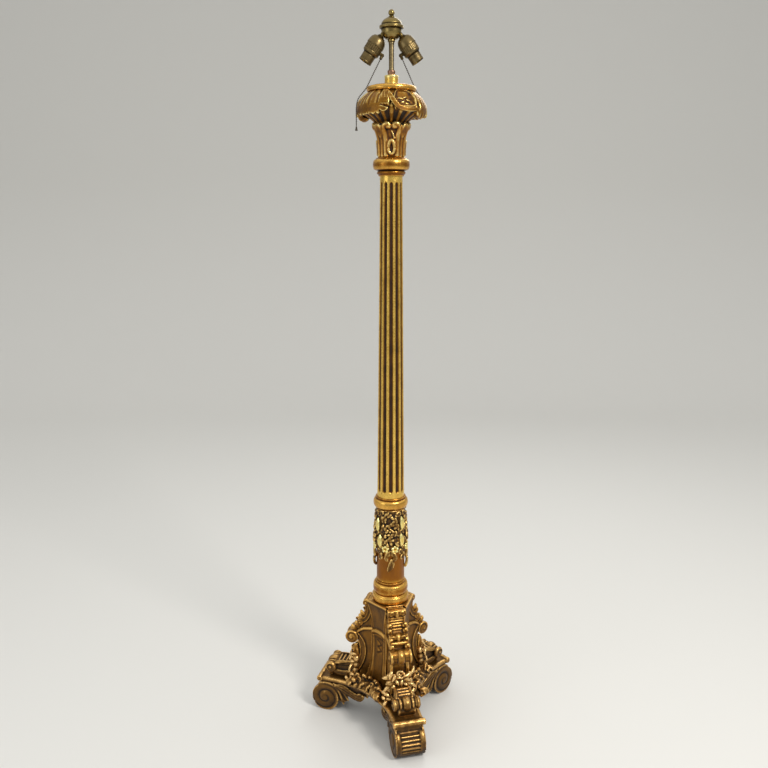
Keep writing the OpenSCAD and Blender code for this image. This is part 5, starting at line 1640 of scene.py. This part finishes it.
def bunch_shape(angle, rng):
    """Dark heap of curled petals and a few berries, with a split leaf and a curled leaf under it."""
    shape = []
    for z, r, half in ((584, 36.6, 16), (566, 37.6, 18), (546, 38.6, 19), (526, 40, 19), (507, 41.4, 19),
                       (490, 40.6, 17)):
        for s in np.linspace(-half, half, 6):
            shape.append(blob(on_round(angle + math.degrees(s / 38), r - 7, z), (6.4, 6.4, 12)))
    berries = []
    for k in range(44):
        z = 584 - 84 * (k + 0.5) / 44 + rng.uniform(-2, 2)
        r = float(np.interp(-z, [-586, -550, -500, -486], [37.4, 39.6, 42.6, 42]))
        s = rng.uniform(-18, 18)
        if k % 4 == 0:
            berries.append(on_round(angle + math.degrees(s / 39), r + 1, z))
            continue
        lean = rng.uniform(-1.3, 1.3)
        line = [(z + 5, -1.5, s - 4 * lean), (z + 2, 1.8, s - 1.5 * lean), (z - 3, 2.2, s + 2 * lean),
                (z - 6, -1.0, s + 4.5 * lean)]
        shape.append(round_leaf(angle, r, line, [1.2, 3.4, 3.4, 1.2], lobes=1, rise=1.6, thick=3, rows=19,
                                cols=11, veins=0.5, depth=0.1))
    shape.append(buds(berries, 3.0, 0.8, 1.2, seed=int(angle) % 97))
    # Split leaf and its curled drop under the heap
    for side in (-1, 1):
        line = [(484, 2, side * 1), (477, 5, side * 6), (468, 6, side * 10), (460, 4, side * 9),
                (455, 1, side * 6)]
        shape.append(round_leaf(angle, 38, line, [3, 6.5, 7, 5, 2], lobes=2, rise=2.2, thick=5, veins=0.6))
    line = [(462, 3, 1), (452, 6, 2), (442, 6.5, 0), (433, 4.5, -4), (426, 0.5, -7)]
    shape.append(round_leaf(angle, 37, line, [3, 7.5, 8.5, 6, 1.5], lobes=2, rise=2.4, thick=5, veins=0.5,
                            depth=0.1))
    return shape


def husk_drop(angle, uneven):
    """Two long smooth spindle leaves, one over the other, between two bunches."""
    shape = []
    for z, turn in ((555, -1), (511, -3)) if uneven else ((549, -8), (507, 3)):
        line = [(z + 19, 0.0, -1), (z + 9, 3.6, 0), (z - 3, 4.6, 0.6), (z - 11, 3.6, 0.6), (z - 19, 0.0, 0)]
        width = [1.2, 6.0, 7.4, 6.0, 1.2]
        shape.append(round_leaf(angle + turn, 38.4, line, width, lobes=1, rise=2.6, thick=6, veins=0.22,
                                depth=0.04))
    return shape


def husk_curls(angle, rng):
    """Coppery curls, small leaves and a few buds beside and under the spindle leaves."""
    shape = []
    for z, s, size in ((582, 6, 4.4), (580, -9, 4.4), (532, 8, 5.0), (528, -9, 5.4), (500, -10, 5.0),
                       (486, 7, 4.8), (478, -4, 4.6), (462, 1, 4.2)):
        path = []
        for a in np.linspace(0, 1.3 * 2 * math.pi, 26):
            far = size * (1 - 0.09 * a)
            sideways = math.degrees((s + far * math.cos(a)) / 38)
            path.append(on_round(angle + sideways, 39.0, z + far * 1.6 * math.sin(a)))
        shape.append(tube(path, np.linspace(2.5, 1.2, 26), squash=1.2))
    for z, s, lean in ((568, 9, 0.6), (545, 10, -0.5), (548, -12, 0.4), (470, 6, 0.5), (508, 11, 0.4)):
        line = [(z + 10, -0.5, s - 3 * lean), (z + 3, 2.6, s), (z - 5, 2.6, s + 2 * lean),
                (z - 11, -0.5, s + 4 * lean)]
        shape.append(round_leaf(angle, 38, line, [1.5, 4.2, 4.2, 1.2], lobes=2, rise=2.0, thick=4))
    places = [on_round(angle + rng.uniform(-13, 13), 38.4, rng.uniform(455, 585)) for _ in range(8)]
    shape.append(buds(places, 2.6, seed=int(angle) % 89))
    return shape


def build_festoons():
    """Four dark bunches with two bright flowers each, and bright leaves among curls between them."""
    rng = np.random.RandomState(23)
    shape = [turned([(33.5, 478), (37.0, 480), (37.4, 590), (33.5, 590)], 120)]
    bright = []
    for k in range(4):
        bunch, gap = -90 + 90 * k, -45 + 90 * k
        shape += bunch_shape(bunch, rng)
        shape += husk_curls(gap, rng)
        bright += husk_drop(gap, k % 2 == 0)
        bright += flower(bunch - 19, 489)
        bright += flower(bunch + 15, 489)
    carve("festoons_gilt", shape, 1.2, "festoon gilding", ["festoons"])
    carve("husks_gilt", bright, 1.2, "husk gilding", [])


# ---------------------------------------------------------------------------------------------
# Brass fittings


def build_fittings():
    """Locknut, stem, coupling, cluster cup with its domed cap, and the finial."""
    brass, slot = "aged brass", "aged_brass"
    loop = [(4.9, 0), (8.4, 0), (7.8, 2), (9.0, 6), (9.2, 9), (8.4, 11), (4.9, 11)]
    small = {"segments": 64, "wobble": 0}
    turn_piece("locknut_copper", loop, "copper brass", ["stem_locknut"], "copper_brass", step=0.6, **small)
    loop = [(5.0, 0), (6.2, 0), (6.4, 1.4), (5.9, 2.4), (5.9, 56), (6.5, 57.5), (6.5, 60), (5.9, 61),
            (5.0, 61)]
    turn_piece("stem_brass", loop, "stem brass", ["stem"], slot, step=1.2, **small)
    loop = [(5.0, 0), (8.4, 0), (8.6, 1.2), (8.6, 4.6), (8.2, 6), (5.0, 6)]
    turn_piece("coupling_brass", loop, brass, ["cluster_coupling"], slot, step=0.6, **small)
    loop = [(5.1, 1.4), (5.1, 0), (12.6, 0), (16.6, 3), (20.4, 8), (22.4, 13), (23.0, 17.6), (23.4, 21),
            (25.4, 22.6), (27.7, 23.4), (27.7, 26), (25.6, 26), (22.0, 22.6), (21.4, 17.6), (20.8, 13.4),
            (19.0, 9), (15.8, 4.6), (11.8, 1.4)]
    turn_piece("cluster_cup_brass", loop, brass, ["cluster_cup"], slot, segments=112, wobble=0.05, step=0.9)
    loop = [(22.0, 0), (27.7, 0), (27.7, 1.6), (26.6, 2.6), (24.0, 3.4), (23.4, 5), (22.8, 8), (20.6, 12),
            (16.6, 15.8), (10.4, 19.2), (7.4, 21), (4.2, 21), (4.2, 18.4), (9.8, 17.4), (15.6, 13.6),
            (19.6, 10), (21.4, 6.6), (21.8, 3)]
    turn_piece("cluster_cap_brass", loop, brass, ["cluster_cap"], slot, segments=112, wobble=0.05, step=0.9)
    radius, middle = 7.3, 21
    ball = [(radius * math.sin(a), middle - radius * math.cos(a)) for a in np.linspace(0.62,
                                                                                       math.pi - 0.02, 20)]
    loop = [(0.02, 0.2), (3.0, 0.2), (3.0, 12.3), (6.6, 12.3), (6.6, 13.2), (4.6, 14.4), *ball]
    turn_piece("finial_brass", loop, brass, ["finial"], slot, step=0.7, body="finial_body", **small)


def socket_frame(side):
    """Matrix from a socket's own axes, +Z out of its mouth, to the lamp's."""
    tilt = math.radians(180 - 34.5)
    c, s = math.cos(tilt), math.sin(tilt)
    place = np.array([[c, 0, s, 27.5], [0, 1, 0, 0], [-s, 0, c, 1709], [0, 0, 0, 1]])
    return place if side > 0 else np.diag([-1.0, 1, 1, 1]) @ place


def build_sockets():
    """Stamped shells: caps with a rolled lip, and barrels pressed with fine flutes over a shoulder."""
    barrel = [(19.5, 16), (19.5, 16.6), (18.9, 17.2), (18.9, 31.4), (19.5, 32.2), (19.5, 34), (18.6, 36.2),
              (16.4, 38.2), (15.1, 39.4), (15.0, 42), (15.5, 43), (15.0, 44), (15.0, 56.6), (15.6, 57.4),
              (15.0, 58.5), (14.4, 58.5), (14.4, 39), (15.9, 37.8), (18.3, 34), (18.2, 16)]
    points, faces = turned(resampled(barrel, 0.8), 144)
    # Twenty-four pressed flutes round the barrel, with plain bands over and under them
    radius, angle = np.hypot(points[:, 0], points[:, 1]), np.arctan2(points[:, 1], points[:, 0])
    press = ramp(points[:, 2], 17.2, 1.2) * ramp(points[:, 2], 31.4, -1.2) * (radius > 18.5)
    points[:, :2] *= (1 + press * 0.034 * np.abs(np.cos(12 * angle)))[:, None]
    cap = [(4.9, -8), (7.5, -8), (7.6, -5.6), (11, -4.6), (15.2, -1.5), (18.2, 3), (19.6, 8.5),
           (20.3, 13.5), (20.6, 15.6), (20.6, 17.2), (20.2, 18), (19.6, 18), (19.5, 15.5), (18.4, 12),
           (17, 3.6), (14, -0.4), (10.4, -3), (4.9, -3)]
    for name, side in (("left", -1), ("right", 1)):
        for part, shell in (("shell", (points, faces)), ("cap", turned(cap, 112))):
            mesh = mesh_of(part, moved([shell], matrix=socket_frame(side)))
            obj = weld(object_of(f"socket_{part}_bronze_{name}", mesh))
            measure_relief(obj.data, 0.8 * MM)
            dress(obj, "socket bronze", [f"socket_{part}_{name}"])


# Routes of the pull chains, as in the part's source: out of the spout, over the crown and down
LEFT_ROUTE = [
    (-22, -0.5, 1672.5), (-30.5, -5.5, 1655), (-39.5, -10.5, 1637), (-48, -15.5, 1619.5),
    (-56.5, -20.5, 1602), (-60.6, -22.2, 1596.4), (-64.5, -23.5, 1591.5), (-72, -26, 1583),
    (-74.5, -26.9, 1579.1), (-76.5, -27.5, 1575), (-79, -28.5, 1566), (-80, -29, 1556),
    (-80, -29, 1546), (-80, -29, 1536), (-80, -29, 1526), (-80, -29, 1516),
]
RIGHT_ROUTE = [
    (22, 0.5, 1672.5), (30.5, 5, 1655), (39.5, 9.5, 1637), (48, 14.5, 1619.5),
    (57, 19, 1602), (60.9, 20.7, 1596.4), (64.5, 22, 1591.5), (68.3, 23.5, 1587),
    (72, 25, 1583), (74.5, 26.4, 1579.1), (76.5, 27.5, 1575), (78, 28.4, 1570.5),
    (79, 29, 1566), (79.4, 29.6, 1562), (79.5, 30, 1558), (79.5, 30, 1551),
]


def build_chains(sizes):
    """Bead chains on their routes, each with a small turned bell on its end."""
    bell_loop = [(0.02, -8.4), (2.6, -8.4), (3.0, -7.9), (2.9, -6.8), (2.3, -4.2), (1.7, -2.6), (2.0, -1.8),
                 (1.5, -0.6), (0.9, -0.05), (0.02, 0)]
    for side, route in (("left", LEFT_ROUTE), ("right", RIGHT_ROUTE)):
        path = np.array(route, float)
        chain = line_object("chain_" + side, path)
        values = {"Bead Diameter": sizes.chain_bead, "Bead Step": 0.0041,
                  "Material": MATERIALS["chain bronze"]}
        run_nodes(chain, bead_tree(), values)
        body = side + "_pull"
        dress(chain, "chain bronze", ["pull_chain_" + side], body)
        bell_mesh = mesh_of("bell", moved([turned(bell_loop, 40)], shift=path[-1]))
        pull = weld(object_of("bell_" + side, bell_mesh))
        dress(pull, "chain bronze", ["pull_bell_" + side], body)


# Finishes of the CAD nodes that stay as they are
KEPT_NODES = {
    "aged brass": ["arm_left", "arm_right"],
    "socket bronze": ["pull_spout_left", "pull_spout_right"],
    "fibre": ["socket_liner_left", "socket_liner_right"],
    "bakelite": ["socket_body_left", "socket_body_right", "cord_bushing"],
    "contact brass": ["screw_shell_left", "screw_shell_right", "centre_contact_left", "centre_contact_right",
                      "switch_lever_left", "switch_lever_right"],
    "steel": ["centre_rod", "bottom_nut", "bottom_washer", "leg_screws"],
    "lead cloth": ["leads"],
    "wire nut": ["wire_nuts"],
}


def finish_kept_nodes():
    """Gives each CAD node that shows its own finish."""
    for material, names in KEPT_NODES.items():
        for name in names:
            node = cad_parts[name]
            node.data.materials.clear()
            node.data.materials.append(MATERIALS[material])


# ---------------------------------------------------------------------------------------------
# Stage


def area_light(name, place, target, size, power, colour):
    """Round area light at a place, aimed at a target."""
    data = bpy.data.lights.new(name, "AREA")
    data.shape = "DISK"
    data.size = size
    data.energy = power
    data.color = colour
    lamp = bpy.data.objects.new(name, data)
    lamp.location = place
    lamp.rotation_euler = (Vector(target) - Vector(place)).to_track_quat("-Z", "Y").to_euler()
    bpy.context.scene.collection.objects.link(lamp)


def build_stage(stage):
    """Camera at the photograph's angle, a pale floor that curves up, soft key and fill lights."""
    scene = bpy.context.scene
    scene.view_settings.view_transform = "Standard"
    data = bpy.data.cameras.new("camera")
    data.lens = stage.lens
    data.sensor_width = 36.0
    data.clip_start = 0.05
    camera = bpy.data.objects.new("camera", data)
    camera.location = (-0.017, -stage.distance, stage.height)
    camera.rotation_euler = (math.pi / 2 - stage.pitch, 0, 0)
    scene.collection.objects.link(camera)
    scene.camera = camera
    # Floor that turns up into a backdrop behind the lamp, in one sheet
    rise = np.linspace(0, math.pi / 2, 24)
    line = [(-6.0, 0.0), (3.2, 0.0),
            *[(3.2 + 1.6 * math.sin(a), 1.6 - 1.6 * math.cos(a)) for a in rise[1:]], (4.8, 6.0)]
    across = np.array([-7.0, 7.0])
    grid = np.array([[(x, y, z) for x in across] for y, z in line])
    mesh = bpy.data.meshes.new("floor")
    faces = grid_faces(len(line), 2)[:, ::-1]
    mesh.from_pydata(grid.reshape(-1, 3).tolist(), [], faces.tolist())
    floor = object_of("floor", mesh)
    mesh.shade_smooth()
    material, _, surface = new_material("Painted studio floor, matt")
    surface.inputs["Base Color"].default_value = linear(stage.floor)
    surface.inputs["Roughness"].default_value = 0.85
    mesh.materials.append(material)
    world = bpy.data.worlds.new("studio")
    world.use_nodes = True
    sky = world.node_tree
    # Studio ceiling: light from above, duller towards the walls, so the gold has shades to show
    where = add(sky, "ShaderNodeTexCoord").outputs["Generated"]
    up = add(sky, "ShaderNodeSeparateXYZ", links={0: where}).outputs["Z"]
    level = add(sky, "ShaderNodeMapRange", links={0: up, 1: -0.2, 2: 0.9, 3: 0.26, 4: 0.95}).outputs[0]
    sky.nodes["Background"].inputs["Color"].default_value = linear("F1F1EF")
    sky.links.new(level, sky.nodes["Background"].inputs["Strength"])
    scene.world = world
    area_light("key", (1.5, -1.7, 2.7), (0, 0, 1.0), 0.8, 50.0, (1.0, 0.965, 0.92))
    area_light("fill", (-2.2, -1.6, 1.5), (0, 0, 0.8), 1.6, 9.0, (0.93, 0.96, 1.0))
    area_light("back", (0.6, 1.8, 2.4), (0, 0, 1.2), 1.2, 10.0, (1.0, 1.0, 1.0))


# ---------------------------------------------------------------------------------------------
# Operators


class BuildLampStage(bpy.types.Operator):
    """Make the camera, the lights, the floor and every finish"""

    bl_idname = "lamp.stage"
    bl_label = "Stage and finishes"

    def execute(self, context):
        build_stage(context.scene.lamp_stage)
        make_materials(context.scene.lamp_finish)
        TREES["buds"] = scatter_tree()
        return {"FINISHED"}


class BuildLampChains(bpy.types.Operator):
    """Make the two pull chains and their bells"""

    bl_idname = "lamp.chains"
    bl_label = "Pull chains"

    def execute(self, context):
        build_chains(context.scene.lamp_sizes)
        return {"FINISHED"}


class BuildLampTripod(bpy.types.Operator):
    """Carve the three legs, the plate and the knee scrolls"""

    bl_idname = "lamp.tripod"
    bl_label = "Tripod base"

    def execute(self, context):
        grain = context.scene.lamp_sizes.carving_grain / MM
        carve_three("foot", "leg", foot_shape(), grain, "foot gilding", floor=0.0)
        build_plate()
        carve_three("knee", "knee_scroll", knee_shape(), grain * 0.9, "foot gilding")
        return {"FINISHED"}


class BuildLampPedestal(bpy.types.Operator):
    """Carve the pedestal, its corner scrolls and the garland round its foot"""

    bl_idname = "lamp.pedestal"
    bl_label = "Pedestal and garland"

    def execute(self, context):
        grain = context.scene.lamp_sizes.carving_grain / MM
        build_pedestal_core()
        carve_three("corner", "corner_scroll", corner_shape(), grain, "pedestal gilding")
        build_garland(grain)
        return {"FINISHED"}


class BuildLampColumn(bpy.types.Operator):
    """Turn the collars, the vase and the fluted shaft"""

    bl_idname = "lamp.column"
    bl_label = "Turned column"

    def execute(self, context):
        build_mouldings()
        build_shaft(context.scene.lamp_sizes)
        build_festoons()
        return {"FINISHED"}


class BuildLampCapital(bpy.types.Operator):
    """Carve the calyx and the crown of overturned leaves"""

    bl_idname = "lamp.capital"
    bl_label = "Leaf capital"

    def execute(self, context):
        build_capital(1.1)
        return {"FINISHED"}


class BuildLampCluster(bpy.types.Operator):
    """Make the stem, the cluster, the finial and the sockets, and finish the nodes that stay"""

    bl_idname = "lamp.cluster"
    bl_label = "Brass cluster"

    def execute(self, context):
        build_fittings()
        build_sockets()
        finish_kept_nodes()
        return {"FINISHED"}


OPERATORS = (
    BuildLampStage,
    BuildLampChains,
    BuildLampTripod,
    BuildLampPedestal,
    BuildLampColumn,
    BuildLampCapital,
    BuildLampCluster,
)


class LampPanel(bpy.types.Panel):
    """Sizes, colours and steps of the lamp, in the order they run"""

    bl_idname = "VIEW3D_PT_lamp"
    bl_label = "Candlestick lamp"
    bl_space_type = "VIEW_3D"
    bl_region_type = "UI"
    bl_category = "Lamp"

    def draw(self, context):
        scene = context.scene
        for group in (scene.lamp_sizes, scene.lamp_finish, scene.lamp_stage):
            box = self.layout.box()
            for name in group.__annotations__:
                box.prop(group, name)
        for operator in OPERATORS:
            self.layout.operator(operator.bl_idname)


CLASSES = (LampSizes, LampFinish, LampStage, *OPERATORS, LampPanel)


def register():
    for cls in CLASSES:
        bpy.utils.register_class(cls)
    bpy.types.Scene.lamp_sizes = bpy.props.PointerProperty(type=LampSizes)
    bpy.types.Scene.lamp_finish = bpy.props.PointerProperty(type=LampFinish)
    bpy.types.Scene.lamp_stage = bpy.props.PointerProperty(type=LampStage)


def unregister():
    for name in ("lamp_stage", "lamp_finish", "lamp_sizes"):
        delattr(bpy.types.Scene, name)
    for cls in reversed(CLASSES):
        bpy.utils.unregister_class(cls)


def main():
    register()
    for step in (
        bpy.ops.lamp.stage,
        bpy.ops.lamp.chains,
        bpy.ops.lamp.tripod,
        bpy.ops.lamp.pedestal,
        bpy.ops.lamp.column,
        bpy.ops.lamp.capital,
        bpy.ops.lamp.cluster,
    ):
        step()


if __name__ == "__main__":
    main()
